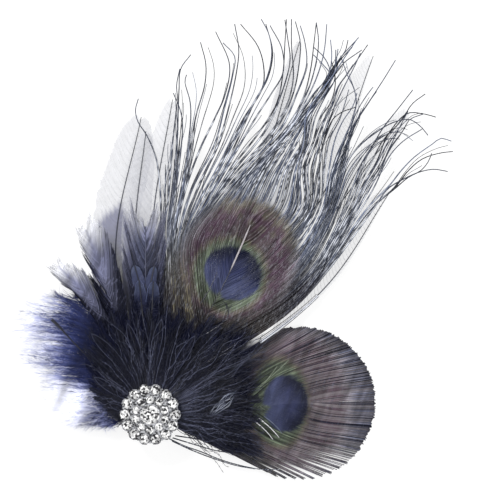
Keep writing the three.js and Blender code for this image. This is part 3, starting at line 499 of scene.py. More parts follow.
class Bundle:
    """Gathers rods, hairs and sheets, given in millimetres, and makes one mesh of them.

    Every point carries a colour, and a weight that its material reads as flecks or as cover.
    """

    def __init__(self):
        self.points, self.tints = [], []
        self.faces = {3: [], 4: []}
        self.slots = {3: [], 4: []}
        self.total = 0

    def add_points(self, points, tints, weight):
        """Takes points in, and returns their numbers in the same rows."""
        values = np.empty(points.shape[:-1] + (4,))
        values[..., :3] = shade_of(tints)
        values[..., 3] = weight
        self.points.append(points.reshape(-1, 3))
        self.tints.append(values.reshape(-1, 4))
        numbers = self.total + np.arange(points.size // 3).reshape(points.shape[:-1])
        self.total += numbers.size
        return numbers

    def add_faces(self, faces, slot):
        size = faces.shape[-1]
        faces = faces.reshape(-1, size)
        self.faces[size].append(faces)
        self.slots[size].append(np.full(len(faces), slot))

    def tubes(self, rings, tints, weight=1.0, slot=STRANDS):
        """Walls through rows of rings."""
        index = self.add_points(rings, tints, weight)
        after = np.roll(index, -1, axis=-1)
        faces = [index[..., :-1, :], after[..., :-1, :], after[..., 1:, :], index[..., 1:, :]]
        self.add_faces(np.stack(faces, axis=-1), slot)

    def rods(self, paths, radius, tint, flat=0.7, sides=3, slot=STRANDS, weight=1.0, ridge_highlight=None):
        """Tapering rods along rows of points, with another colour on the ridge where one is given, as a
        painted highlight.
        """
        rows, count, _ = paths.shape
        heading = unit(np.gradient(paths, axis=1))
        across = unit(np.cross(UPWARD, heading))
        upward = np.cross(heading, across)
        radius = np.broadcast_to(radius, (rows, count))[..., None]
        rings = []
        for side in range(sides):
            angle = math.pi / 2 + 2 * math.pi * side / sides
            rings.append(paths + radius * (math.cos(angle) * across + flat * math.sin(angle) * upward))
        tint = np.broadcast_to(shade_of(tint), (rows, count, 3))
        tint = np.repeat(tint[:, :, None], sides, axis=2)
        if ridge_highlight is not None:
            tint[:, :, 0] = ridge_highlight
        weight = np.broadcast_to(weight, (rows, count))[:, :, None]
        self.tubes(np.stack(rings, axis=2), tint, weight, slot)

    def rod(self, path, radius, tint, **form):
        """One tapering rod along a row of points."""
        self.rods(path[None], np.asarray(radius)[None], shade_of(tint)[None], **form)

    def hairs(self, roots, tips, width, root_tint, tip_tint, weight):
        """Flat pointed hairs, one face each."""
        across = unit(np.cross(UPWARD, tips - roots)) * (width / 2)
        points = np.stack([roots - across, roots + across, tips], axis=1)
        tints = np.stack([root_tint, root_tint, tip_tint], axis=1)
        self.add_faces(self.add_points(points, tints, np.reshape(weight, (-1, 1))), STRANDS)

    def sheet(self, paths, tint, cover):
        """A sheet through rows of points, which stops the given share of the light."""
        index = self.add_points(paths, tint, cover)
        faces = [index[:-1, :-1], index[1:, :-1], index[1:, 1:], index[:-1, 1:]]
        self.add_faces(np.stack(faces, axis=-1), WEB)

    def build(self, name, materials, slot, *nodes):
        """Makes the mesh and places it as one piece."""
        mesh = bpy.data.meshes.new(name)
        points = np.concatenate(self.points) * MM
        mesh.vertices.add(len(points))
        mesh.vertices.foreach_set("co", points.ravel())
        corners, sizes, slots = [], [], []
        for size, groups in self.faces.items():
            if groups:
                faces = np.concatenate(groups)
                corners.append(faces.ravel())
                sizes.append(np.full(len(faces), size))
                slots.append(np.concatenate(self.slots[size]))
        corners, sizes, slots = (np.concatenate(part) for part in (corners, sizes, slots))
        mesh.loops.add(len(corners))
        mesh.loops.foreach_set("vertex_index", corners)
        mesh.polygons.add(len(sizes))
        mesh.polygons.foreach_set("loop_start", np.concatenate([[0], np.cumsum(sizes)[:-1]]))
        mesh.polygons.foreach_set("material_index", slots)
        mesh.polygons.foreach_set("use_smooth", np.ones(len(sizes), bool))
        tint = mesh.color_attributes.new("tint", "FLOAT_COLOR", "POINT")
        tint.data.foreach_set("color", np.concatenate(self.tints).ravel())
        mesh.update(calc_edges=True)
        mesh.validate()
        for material in materials:
            mesh.materials.append(material)
        place_piece(add_object(name, mesh), slot, *nodes)


def feed(tree, node, inputs):
    """Links the inputs of a node to other nodes, or sets them to plain values."""
    for socket, value in inputs.items():
        if isinstance(value, bpy.types.NodeSocket):
            tree.links.new(value, node.inputs[socket])
        else:
            node.inputs[socket].default_value = value


class Surface:
    """A material in the making, with the nodes that give its colour."""

    def __init__(self, name):
        self.material = bpy.data.materials.new(name)
        self.material.use_nodes = True
        self.tree = self.material.node_tree

    def node(self, kind, inputs, **settings):
        """Outputs of a new node."""
        node = self.tree.nodes.new(kind)
        for name, value in settings.items():
            setattr(node, name, value)
        feed(self.tree, node, inputs)
        return node.outputs

    def place(self):
        return self.node("ShaderNodeTexCoord", {})["Object"]

    def noise(self, scale, detail=2.0, place=None):
        inputs = {"Vector": place or self.place(), "Scale": scale, "Detail": detail}
        return self.node("ShaderNodeTexNoise", inputs)["Fac"]

    def grain(self, scale):
        """Noise drawn out along the way most of the herls run."""
        turn = {"Vector": self.place(), "Rotation": (0, 0, math.radians(GRAIN_TURN))}
        turned = self.node("ShaderNodeMapping", turn)["Vector"]
        stretch = {"Vector": turned, "Scale": (1, GRAIN_STRETCH, 1)}
        return self.noise(scale, place=self.node("ShaderNodeMapping", stretch)["Vector"])

    def ranged(self, value, low, high, to_low=0.0, to_high=1.0):
        """A value brought from one range to another."""
        inputs = {"Value": value, "From Min": low, "From Max": high, "To Min": to_low, "To Max": to_high}
        return self.node("ShaderNodeMapRange", inputs)["Result"]

    def mixed(self, factor, first, second, mode="MIX"):
        inputs = {"Factor": factor, 6: first, 7: second}
        return self.node("ShaderNodeMix", inputs, data_type="RGBA", blend_type=mode)[2]

    def carried(self, shade):
        """The colour that the points carry, times a shade, and the weight that they carry."""
        tint = self.node("ShaderNodeAttribute", {}, attribute_name="tint")
        return self.mixed(1.0, tint["Color"], shade, "MULTIPLY"), tint["Alpha"]

    def finish(self, inputs):
        """Feeds the shader and returns the material."""
        feed(self.tree, self.tree.nodes["Principled BSDF"], inputs)
        return self.material


def strand_material(name, roughness, fleck, fleck_scale, fleck_low, fleck_top=1.0, coat=0.0, glow=0.0,
                    deep=0.6):
    """Feather strands: the colour they carry, broken up by fine light and dark flecks."""
    surface = Surface(name)
    coarse, fine = surface.grain(fleck_scale / 5), surface.grain(fleck_scale)
    shaded, weight = surface.carried(surface.ranged(coarse, 0.3, 0.7, deep, 1.9 - deep))
    flecks = surface.ranged(fine, fleck_low, fleck_low + 0.08, 0.0, fleck_top)
    amount = surface.node("ShaderNodeMath", {0: flecks, 1: weight}, operation="MULTIPLY")["Value"]
    colour = surface.mixed(amount, shaded, (*COLOUR[fleck], 1))
    gloss = surface.ranged(fine, 0.3, 0.7, roughness + 0.1, roughness - 0.1)
    # The strands give off their own colour as much as glow asks: painted light.
    return surface.finish({
        "Base Color": colour, "Emission Color": colour, "Emission Strength": glow, "Roughness": gloss,
        "Specular IOR Level": 0.25, "Coat Weight": coat, "Coat Roughness": 0.3})


def quill_material():
    """Smooth horn of the shafts."""
    surface = Surface("quill_horn")
    colour, _ = surface.carried(surface.ranged(surface.noise(400), 0.3, 0.7, 0.75, 1.1))
    return surface.finish({"Base Color": colour, "Roughness": 0.35, "Coat Weight": 0.3})


def vane_material():
    """Thin web between barbs; its points carry how much light it stops."""
    surface = Surface("thin_vane")
    colour, cover = surface.carried(surface.ranged(surface.noise(500), 0.3, 0.7, 0.9, 1.08))
    return surface.finish({"Base Color": colour, "Alpha": cover, "Roughness": 0.8,
                           "Specular IOR Level": 0.1})


def metal_material(name, base, roughness, dark_patch_share, scale=350):
    """Plated metal, darker and duller in patches."""
    surface = Surface(name)
    patches = surface.noise(scale, 4)
    # Random patches turn near black and duller.
    dark = tuple(value * 0.04 for value in base)
    colour = surface.mixed(surface.ranged(patches, 0.44, 0.58, 0, dark_patch_share), (*base, 1), (*dark, 1))
    gloss = surface.ranged(patches, 0.3, 0.8, roughness, roughness + 0.2)
    return surface.finish({"Base Color": colour, "Roughness": gloss, "Metallic": 1.0})


def stone_material():
    """Foil-backed glass with painted sparkle: each small patch of a facet is painted bright or dark as a
    stand-in for reflections, and the glass glows a little.
    """
    surface = Surface("foiled_glass_painted_sparkle")
    cells = surface.node("ShaderNodeTexVoronoi", {"Vector": surface.place(), "Scale": 1350})["Color"]
    split = surface.node("ShaderNodeSeparateColor", {"Color": cells})
    # Painted reflections: each cell is painted near white or near black, then dimmed at random; the
    # emission below is a painted glow.
    painted_sparkle = surface.ranged(split["Red"], 0.28, 0.42)
    sparkle_dimming = surface.ranged(split["Green"], 0.3, 0.75, 0.45, 1.0)
    colour = surface.mixed(painted_sparkle, (0.015, 0.015, 0.02, 1), (1.0, 1.0, 1.0, 1))
    shaded = surface.mixed(1.0, colour, sparkle_dimming, "MULTIPLY")
    return surface.finish({
        "Base Color": shaded, "Emission Color": shaded, "Emission Strength": 0.25, "Metallic": 0.35,
        "Roughness": 0.08, "Coat Weight": 1.0, "Coat Roughness": 0.02})


# The herl strands and the down glow a little in their own colour, painted light that makes them look
# lighter.
HERL = strand_material("herl_strands", 0.5, "silver", 1500, 0.54, glow=0.05)
EYE = strand_material("eye_barbs", 0.5, "herl_light", 1700, 0.58, 0.6)
CLEAR = strand_material("clear_barbs", 0.6, "white", 900, 0.62)
NAVY = strand_material("navy_barbs", 0.5, "lavender", 1200, 0.58, 0.7, deep=0.5)
DARK = strand_material("dark_strands", 0.4, "slate", 1300, 0.62, 0.5, coat=0.1)
DOWN = strand_material("down", 0.75, "lavender", 900, 0.66, 0.4, glow=0.28)
QUILL = quill_material()
VANE = vane_material()


def rest_heights(flat, level, away=0.0, lift=0.0):
    """Adds the stack's height to flat points, which droop with their distance from the shaft."""
    middle = height_at(flat[..., 0], flat[..., 1], level)
    middle = middle - np.minimum(away * DROOP_SLOPE, DROOP_LIMIT) + lift
    return np.concatenate([flat, middle[..., None]], axis=-1)


def add_shaft(bundle, controls, level, halves, tints, end=1.0, lift=0.35):
    """A shaft as one tapering rod, with half widths and colours for its root and its tip."""
    shares = np.linspace(0, end, SHAFT_STATIONS)
    points, _ = even_points(controls, shares)
    out = np.hypot(points[:, 0], points[:, 1])
    path = rest_heights(points, level, lift=lift * smoothstep(out, ROOT_RADIUS, OPEN_RADIUS))
    radius = halves[0] + (halves[1] - halves[0]) * shares / end
    radius *= 0.6 + 0.4 * smoothstep(out, ROOT_RADIUS, OPEN_RADIUS / 2)
    tint = layered(plain(tints[0], shares), (tints[1], smoothstep(shares, 0.1, end)))
    bundle.rod(path, radius, tint, flat=0.6, sides=8, slot=HORN)


def add_stray(bundle, stray, level, radius):
    """One loose quill, straight but for a slight bow."""
    start, end, colour = stray
    shares = np.linspace(0, 1, STRAY_STATIONS)
    flat = np.array(start) * (1 - shares)[:, None] + np.array(end) * shares[:, None]
    flat[:, 0] += 0.6 * np.sin(math.pi * shares)
    path = rest_heights(flat, level, lift=OVERLAY_LIFT)
    bundle.rod(path, radius * (1 - 0.6 * shares), colour, flat=0.8, sides=6, slot=HORN)


def add_barbules(bundle, paths, tints, keep, weight, spacing, length, width, shine=0.3):
    """Short side hairs along rows of points, leaning forward on both sides; some tips are painted towards
    silver as glints.
    """
    total = np.linalg.norm(np.diff(paths, axis=1), axis=2).sum(axis=1)
    count = max(4, int(total.mean() / spacing))
    row, index, part = spots_along(paths, (np.arange(count) + 0.5) / count)
    roots = value_at(paths, row, index, part)
    heading = unit(paths[row, index + 1] - paths[row, index])
    across = np.cross(UPWARD, heading)
    colour = tints[row, index]
    keep = np.broadcast_to(keep, paths.shape[:2])[row, index]
    weight = np.broadcast_to(weight, paths.shape[:2])[row, index]
    for side in (1, -1):
        reach = length * random.uniform(0.6, 1.2, index.shape)[..., None]
        tips = roots + heading * reach * 0.85 + across * reach * side * 0.5
        tips[..., 2] += random.normal(0, 0.12, index.shape)
        # Painted glints: a few tips are painted towards silver, as much as shine allows.
        glint = shine * random.uniform(0, 1, index.shape) ** 3
        pale = layered(colour, ("silver", glint))
        bundle.hairs(roots[keep], tips[keep], width, colour[keep], pale[keep], weight[keep])


def vane_width(share, blunt):
    """Outline of a plain vane: blunt, or drawn out to a point."""
    share = np.clip(share, 0.01, 0.985)
    if blunt:
        return np.minimum(1, (share / 0.3) ** 0.6) * (1 - share ** 6) ** 0.7
    return np.sin(np.pi * share ** 0.8) ** 0.6


def shaft_of(row):
    return [row["root"], row["bend"], row["tip"]]


def vane_barbs(row, per_side, stations):
    """Barbs of both vanes: paths, shares of the shaft, shares along each barb, and sides."""
    along = np.linspace(0, 1, stations)
    ragged = row.get("ragged", RAGGED)
    sweep = row.get("sweep", SWEEP)
    every = []
    for side, widest in ((1, row["left"]), (-1, row["right"])):
        shares = np.linspace(row["vane"], 0.99, per_side)
        points, heading = even_points(shaft_of(row), shares)
        wide = widest * vane_width((shares - row["vane"]) / (1 - row["vane"]), row.get("blunt", False))
        wide *= 1 + random.normal(0, ragged, per_side)
        if side > 0 and "open" in row:
            stray = random.uniform(0, 1, per_side) > 0.8
            wide *= 1 - 0.75 * fade(shares, *row["open"]) * ~stray
        lean = 1 + 3 * ragged * np.sin(shares * 31 + side) + 2 * ragged * np.sin(shares * 83 + 2 * side)
        out = wide[:, None] * along ** 0.85
        ahead = sweep * wide[:, None] * lean[:, None] * along ** 1.25
        normal = left_of(heading) * side
        flat = points[:, None] + normal[:, None] * out[..., None] + heading[:, None] * ahead[..., None]
        flat = sideways(flat, wave(flat.shape[:2], (0.5, 1.0), ragged * 6) * along)
        lift = random.normal(0, 0.02 + ragged, (per_side, 1)) * along
        path = rest_heights(flat, row["level"], out, lift)
        every.append((path, np.broadcast_to(shares[:, None], out.shape),
                      np.broadcast_to(along, out.shape), side))
    return every


def clear_tints(row, shares, along):
    """A see-through vane that is dark towards its root."""
    edge = row["dark_end"] - row["dark_slope"] * along
    dark = fade(shares, edge - 0.02, edge + 0.01)
    deep = fade(shares, edge - 0.3, edge - 0.04)
    tint = layered(plain("clear", shares), ("clear_dark", 0.4 * fade(along, 0, 0.2)),
                   (COLOUR["lavender"] * 0.5, dark), ("ink", deep))
    thin = row.get("cover", VANE_COVER)
    return tint, thin + (0.92 - thin) * np.maximum(0.8 * dark, deep)


def hackle_tints(row, shares, along, side, streak):
    """A navy vane with a pale tip; its left rim and its root are dark."""
    pale = smoothstep(shares + 0.3 * along, 0.85, 1.15)
    rim = (side > 0) * smoothstep(along, 0.3, 0.9) * fade(shares, 0.66, 0.84)
    edge = row["dark_end"] + 0.2 * (random.uniform(0, 1, streak.shape) - 0.5)
    tint = layered(plain(COLOUR["lavender"] * 0.6, shares),
                   (COLOUR["slate"] * 0.7, 0.35 * (streak > 0.6)), ("white", pale), ("ink", 0.9 * rim),
                   ("black_blue", fade(shares, edge - 0.2, edge + 0.05)))
    return tint, 0.85 - 0.5 * pale


def lobe_tints(row, shares, along):
    """A dark vane with a paler rim."""
    near_rim = smoothstep(shares + 0.12 * along, 0.6, 1.0)
    return layered(plain(row["tint"], shares) * 0.6, ("lobe_rim", 0.25 * near_rim)), 0.9


def grey_tints(shares, along, streak):
    """A streaky grey-blue vane that thins out at its pale edges."""
    dark = fade(shares + 0.2 * along, 0.45 + 0.4 * streak, 0.7 + 0.4 * streak)
    outer = smoothstep(along, 0.5, 1.0)
    tint = layered(plain("slate", shares), (COLOUR["lavender"] * 0.9, 0.8 * (streak > 0.7)),
                   ("black_blue", 0.6 * (streak < 0.35)), ("black_blue", 0.9 * dark),
                   (COLOUR["lavender"] * 0.8, 0.6 * outer * smoothstep(shares, 0.4, 0.6)),
                   ("clear", 0.7 * smoothstep(shares + 0.4 * along, 0.95, 1.3)))
    return tint, 0.85 - 0.6 * outer


def plain_tints(row, shares, along, side):
    """Colours and cover of a plain feather, from its look and the place on the vane."""
    count = len(shares)
    grain = random.normal(1, 0.05, (count, 1, 1))
    if row["look"] == "clear":
        tint, cover = clear_tints(row, shares, along)
        return tint * grain, cover
    streak = np.repeat(random.uniform(0, 1, (count // STREAK + 1, 1)), STREAK, axis=0)[:count]
    if row["look"] == "hackle":
        tint, cover = hackle_tints(row, shares, along, side, streak)
    elif row["look"] == "lobe":
        tint, cover = lobe_tints(row, shares, along)
    else:
        tint, cover = grey_tints(shares, along, streak)
    return tint * grain, cover


def build_plain_feather(row):
    bundle = Bundle()
    clear = row["look"] == "clear"
    per_side, step, radius = (160, 4, 0.05) if clear else (230, 1, 0.11)
    for path, shares, along, side in vane_barbs(row, per_side, 8):
        tint, cover = plain_tints(row, shares, along, side)
        bundle.sheet(path, tint, cover)
        taper = radius * (1 - 0.7 * along)
        bundle.rods(path[::step], taper[::step], tint[::step] * 0.9, flat=0.45, weight=0.4)
    tints = ("slate", "herl") if clear else ("black_blue", "slate")
    add_shaft(bundle, shaft_of(row), row["level"], (0.4, 0.14), tints, row.get("shaft", 1.0))
    # The lowest clear feather gets a painted highlight and painted shaded edges on its quill.
    if row["name"] == "clear_feather_right_low":
        add_quill_highlight(bundle, row)
    if row["name"] == "grey_centre_feather":
        for lobe in GREY_LOBES:
            add_lobe(bundle, {**LOBE_FORM, **lobe})
    materials = [CLEAR if clear else NAVY, QUILL, VANE]
    bundle.build(row["name"] + "_barbs", materials, FEATHER_SLOTS[row["look"]], row["name"])


def add_lobe(bundle, row):
    """A small round-tipped feather that lies on the grey one, with an edge and a dark shaft."""
    for path, shares, along, side in vane_barbs(row, 60, 6):
        tint, cover = plain_tints(row, shares, along, side)
        bundle.sheet(path, tint, cover)
        bundle.rods(path, 0.1, tint * 0.8, flat=0.45, weight=0.2)
        bundle.rod(path[30:, -1] + [0, 0, 0.15], 0.16, row["rim"], flat=0.7, weight=0.2)
    add_shaft(bundle, shaft_of(row), row["level"], (0.3, 0.2), ("black_blue", "black_blue"))


def add_quill_highlight(bundle, row):
    """Painted highlight and shade on one quill: two bright stripes between dark edges."""
    shares = np.linspace(*QUILL_HIGHLIGHT_SPAN, 30)
    points, heading = even_points(shaft_of(row), shares)
    narrow = np.linspace(1, 0.5, len(shares))
    for aside, radius, colour in QUILL_HIGHLIGHT_STRIPES:
        flat = points + left_of(heading) * aside * narrow[:, None]
        path = rest_heights(flat, row["level"], lift=OVERLAY_LIFT)
        bundle.rod(path, radius * narrow, colour, flat=0.8, sides=6, slot=HORN)


def ellipse_distance(flat, eye, ring):
    """Distance from the middle of one ring of an eye, where 1 is its edge, and the part of it along."""
    x, y, half_across, half_along = eye[ring]
    angle = math.radians(eye["turn"])
    right, up = flat[..., 0] - x, flat[..., 1] - y
    across = (right * math.cos(angle) + up * math.sin(angle)) / half_across
    along = (up * math.cos(angle) - right * math.sin(angle)) / half_along
    return np.hypot(across, along), along


def notch_mask(flat, eye):
    """The wedge of green that cuts into the pupil from the root side."""
    notch = np.array(eye["notch"])
    toward = unit(np.array(eye["base"]) - notch)
    deep = (flat - notch) @ toward
    aside = np.abs((flat - notch) @ left_of(toward))
    return smoothstep(0.62 * deep - aside, -0.6, 0.6)


def eye_tints(flat, eye):
    """Colours of a peacock feather: a dark blue pupil in a green and a bronze ring on grey herls."""
    x, y = flat[..., 0], flat[..., 1]
    ragged = random.normal(0, 0.014, (len(flat), 1))
    grain = random.normal(0, 1, (len(flat), 1))
    patches = np.sin(x * 0.9 + y * 0.35) * np.sin(y * 0.7 - x * 0.3)
    bronze, up = ellipse_distance(flat, eye, "bronze")
    pupil, along = ellipse_distance(flat, eye, "pupil")
    bronze = bronze + ragged * 3
    green = ellipse_distance(flat, eye, "green")[0] + ragged * 2
    pupil = pupil + ragged * 0.7
    foot = fade(up, -0.7, 0.0) * smoothstep(bronze, 0.7, 0.95) * fade(bronze, 1.2, 1.5)
    crown = eye["crown"] * smoothstep(up, 0.35, 0.8) * fade(bronze, 0.98, 1.06)
    purple = eye["purple"] * np.exp(-((bronze - 0.74) / 0.14) ** 2) * smoothstep(patches, -0.9, 0.3)
    dark = np.clip(0.35 + 0.35 * grain + 0.3 * patches, 0, 0.9)
    light = np.clip(0.3 + 0.35 * grain + 0.2 * patches, 0, 0.9)
    inside = fade(pupil, 0.96, 1.03) * (1 - notch_mask(flat, eye))
    tint = layered(plain(eye["beyond"], x), ("herl_light", np.clip(0.2 + 0.2 * grain, 0, 0.8)),
                   ("bronze_light", 0.6 * fade(bronze, 0.95, 1.12)),
                   ("bronze", 0.85 * fade(bronze, 0.8, 1.0)),
                   (COLOUR["olive"] * 0.45, 0.75 * foot), ("olive", 0.75 * crown))
    tint = layered(tint * (1 - 0.4 * foot[..., None]), ("purple", purple),
                   ("bronze_dark", dark * fade(bronze, 0.75, 1.0)),
                   ("olive", 0.7 * fade(green, 0.98, 1.1)), ("green", 0.9 * fade(green, 0.88, 1.02)),
                   ("green_light", light * fade(green, 0.8, 0.98)), ("navy", inside),
                   ("navy_light", 0.7 * inside * fade(along, -0.7, 0.3)),
                   ("navy_rim", inside * smoothstep(pupil, 0.2, 0.95) * smoothstep(along, -0.3, 0.4)))
    contrast = 0.05 + 0.35 * smoothstep(pupil, 0.95, 1.3)
    return tint * np.clip(1 + contrast * grain, 0.5, 1.7)[..., None]


def herl_lines(runs, traces):
    """Flat lines of the traced herls, from the shaft past the eye to their tips."""
    runs = np.array(sorted(runs, key=lambda row: row[1]))
    shares = np.linspace(0, 1, HERL_STATIONS)
    lines = []
    for trace in traces:
        share, *way = (np.interp(trace[0][0], runs[:, 1], runs[:, k]) for k in (0, 2, 3, 4, 5))
        start, _ = even_points(LARGE_SHAFT, [share])
        low = [way[:2], way[2:]] if trace[0][1] > way[3] + 2 else [way[:2]]
        lines.append(even_points([start[0], *low, *trace], shares, TRACE_FINENESS)[0])
    return np.array(lines)


def filled_lines(lines, count, shortest):
    """More lines between neighbouring ones, spread by the room between them, some cut short."""
    middle = int(lines.shape[1] * 0.42)
    room = np.linalg.norm(np.diff(lines[:, middle], axis=0), axis=1)
    order = (np.arange(count) + random.uniform(0.2, 0.8, count)) / count
    mixed = lines_at(lines, np.interp(order, length_shares(room), np.arange(len(lines))))
    reach = shortest + (1 - shortest) * random.uniform(0, 1, count) ** 1.5
    shares = np.linspace(0, 1, lines.shape[1])
    return np.array([read_at(line, shares, shares * cut) for line, cut in zip(mixed, reach)])


def build_large_peacock():
    bundle = Bundle()
    shares = np.linspace(0, 1, HERL_STATIONS)
    traced = np.concatenate([herl_lines(LEFT_RUNS, LEFT_HERLS), herl_lines(RIGHT_RUNS, RIGHT_HERLS)])
    loose = np.concatenate([filled_lines(traced, *filling) for filling in FILLED_HERLS])
    bend = wave(loose.shape[:2], (0.7, 1.3), 0.8) * smoothstep(shares, 0.4, 1.0)
    curl = random.normal(0, 1.8, (len(loose), 1)) * smoothstep(shares, 0.75, 1.0) ** 2
    add_herls(bundle, np.concatenate([traced, sideways(loose, bend + curl)]), shares, len(traced))
    add_web(bundle, traced[:, :WEB_STATIONS])
    add_large_shaft(bundle)
    materials = [HERL, QUILL, VANE]
    bundle.build("large_peacock_herls", materials, "peacock_herl", "large_peacock_feather")


def add_herls(bundle, flat, shares, broad):
    """Herls with painted shade on their edges and a painted highlight on their ridge, which glints in
    dashes; the first ones are broad.
    """
    size = (len(flat), 1)
    lift = random.normal(0, 0.4, size) * smoothstep(shares, 0.35, 0.8)
    path = rest_heights(flat, LARGE_LEVEL, lift=lift - DROOP_LIMIT * smoothstep(shares, 0.1, 0.5))
    tint = eye_tints(flat, LARGE_EYE)
    outside, _ = ellipse_distance(flat, LARGE_EYE, "bronze")
    pupil, _ = ellipse_distance(flat, LARGE_EYE, "pupil")
    beyond = smoothstep(outside, 0.95, 1.35)
    outer = smoothstep(pupil, 0.95, 1.2)
    low = fade(flat[..., 1], 48, 70)
    gold = low * (random.uniform(0, 1, size) > 0.7) * fade(flat[..., 0], 14, 22)
    dashes = random.uniform(0, 1, flat.shape[:2]) > 0.55
    is_broad = (np.arange(len(flat)) < broad)[:, None]
    shining = beyond * (1 - low) * fade(shares, 0.7, 0.85)
    tint = layered(tint, (COLOUR["bronze_dark"] * 0.6, 0.6 * low * smoothstep(outside, 0.85, 1.05)),
                   ("gold", 0.5 * gold * dashes))
    # Painted highlight: the ridge is painted lighter than the herl and glints silver in dashes beyond the
    # eye.
    ridge_highlight = layered(tint * (1 + 0.3 * outer[..., None]),
                    ("silver", (0.06 + (0.2 + 0.7 * is_broad) * dashes) * shining))
    radius = 0.22 + np.where(is_broad, BROAD_HERL, FINE_HERL) * beyond
    # Painted shade: outside the pupil, the sides are painted darker than the ridge.
    bundle.rods(path, radius * (1 - 0.55 * smoothstep(shares, 0.55, 1.0)),
                tint * (1 - 0.5 * outer[..., None]), flat=0.5,
                weight=0.12 * shining + 0.1 * outer, ridge_highlight=ridge_highlight)
    fluffy = (shares < 0.8) & (shares > 0.1)
    close = outside < 1.15
    add_barbules(bundle, path, tint, close & fluffy, 0.1, 0.62, 0.95, 0.16, 0.35)
    under = path - [0, 0, 0.15]
    add_barbules(bundle, under, tint, ~close & fluffy, 0.15 * shining, 0.7, 0.6, 0.2, 0.1)


def add_web(bundle, lines):
    """The close web of the herls round the eye, as one sheet that thins out beyond it."""
    lines = np.concatenate([lines[:1] - [WEB_MARGIN, 0], lines])
    flat = lines_at(lines, np.linspace(0, len(lines) - 1, WEB_ROWS))
    outside, _ = ellipse_distance(flat, LARGE_EYE, "bronze")
    pupil, _ = ellipse_distance(flat, LARGE_EYE, "pupil")
    lift = 0.5 * fade(pupil, 0.9, 1.2) - DROOP_LIMIT - 0.25
    near_root = fade(flat[..., 1], 52, 74)
    dark = 0.7 * near_root * smoothstep(outside, 0.9, 1.1)
    tint = layered(eye_tints(flat, LARGE_EYE) * 0.9, (COLOUR["bronze_dark"] * 0.6, dark))
    haze = WEB_HAZE * fade(outside, 1.3, 2.6) * fade(np.linspace(0, 1, lines.shape[1]), 0.5, 0.95)
    cover = np.maximum.reduce([fade(outside, 0.98, 1.18), near_root, haze])
    bundle.sheet(rest_heights(flat, LARGE_LEVEL, lift=lift), tint, cover)


def add_large_shaft(bundle):
    """A dark shaft that turns pale where it crosses the pupil, partly the horn's own colour and partly a
    painted highlight.
    """
    points, _ = even_points(LARGE_SHAFT, np.linspace(0, 0.97, 60))
    up = points[:, 1]
    # Painted pale from where it crosses the pupil up to its tip: the horn's own paleness and a painted
    # highlight.
    tint = layered(plain("black_blue", up), (COLOUR["bronze_light"] * 1.4, smoothstep(up, 58, 61)))
    faint = 0.35 + 0.65 * smoothstep(up, 56, 62) * fade(up, 73, 78)
    path = rest_heights(points, LARGE_LEVEL, lift=0.25)
    bundle.rod(path, 0.36 * faint, tint, flat=0.6, sides=8, slot=HORN)


def small_barb_lines(rows, shares):
    """Flat lines of the barbs on one side of the small feather, and where they meet its rim."""
    order = np.linspace(0, 1, SMALL_BARBS)
    start, mid_x, mid_y, angle = (column(rows, k, order) for k in range(4))
    starts, _ = even_points(SMALL_SHAFT, start)
    split = np.sin(angle * 0.9) * 1.3 + np.sin(angle * 2.3 + 1) * 0.5
    angle = angle + split * smoothstep(-angle, 25, 60) + random.normal(0, 0.15, SMALL_BARBS)
    reach = SMALL_DISC["radius"] * (1 + random.uniform(-0.02, 0.012, SMALL_BARBS))
    reach = reach + 0.8 * np.abs(np.sin(angle * 0.45)) * smoothstep(-angle, 25, 60)
    rim = SMALL_DISC["centre"] + polar(angle, reach)
    middles = np.stack([mid_x, mid_y], axis=1)
    return spline(np.stack([starts, middles, rim], axis=1), shares), angle


def add_small_barbs(bundle, rows):
    """Barbs on one side of the small feather, over a sheet that thins out at the lower rim."""
    size = (SMALL_BARBS, 1)
    shares = np.linspace(0, 1, SMALL_STATIONS)
    flat, angle = small_barb_lines(rows, shares)
    away = np.linalg.norm(flat - flat[:, :1], axis=2)
    path = rest_heights(flat, SMALL_LEVEL, away, random.normal(0, 0.05, size) * shares)
    tint = eye_tints(flat, SMALL_EYE)
    outside, _ = ellipse_distance(flat, SMALL_EYE, "green")
    beyond = smoothstep(outside, 0.95, 1.2)
    bright = (random.uniform(0, 1, size) > 0.4) * random.uniform(0.3, 0.8, size)
    slit = random.uniform(0, 1, size) > 0.86
    tint = layered(tint, (COLOUR["bronze_light"] * 0.65, bright * beyond),
                   ("black_blue", 0.85 * slit * beyond))
    # Painted highlight and shade: each barb's ridge is painted lighter, most beyond the green ring, and its
    # sides darker.
    top_highlight = (1.1 + 0.4 * beyond) * (1 - 0.5 * smoothstep(shares, 0.9, 1.0))
    flecks = 0.1 + 0.3 * beyond
    bundle.rods(path, 0.24 - 0.07 * smoothstep(shares, 0.8, 1.0), tint * 0.6, flat=0.5,
                weight=flecks, ridge_highlight=tint * top_highlight[..., None])
    fuzzy = (shares > 0.1) & (shares < 0.94)
    add_barbules(bundle, path, tint, fuzzy, flecks, 0.8, 0.5, 0.12)
    loose = smoothstep(-angle, 30, 60)[:, None] * smoothstep(shares, 0.7, 0.9)
    bundle.sheet(path - [0, 0, 0.2], tint * 0.7, 1 - loose)


def build_small_peacock():
    bundle = Bundle()
    for rows in (SMALL_UPPER, SMALL_LOWER):
        add_small_barbs(bundle, rows)
    tints = ("quill_dark", "green_light")
    add_shaft(bundle, SMALL_SHAFT, SMALL_LEVEL, (0.6, 0.1), tints, end=0.62, lift=-0.1)
    for stray in SMALL_STRAYS:
        add_stray(bundle, stray, SMALL_LEVEL, 0.28)
    materials = [EYE, QUILL, VANE]
    bundle.build("small_peacock_barbs", materials, "peacock_eye", "small_peacock_feather")


def fan_reach(rows, angle):
    angles, reaches = zip(*sorted(rows))
    return np.interp(angle, angles, reaches)


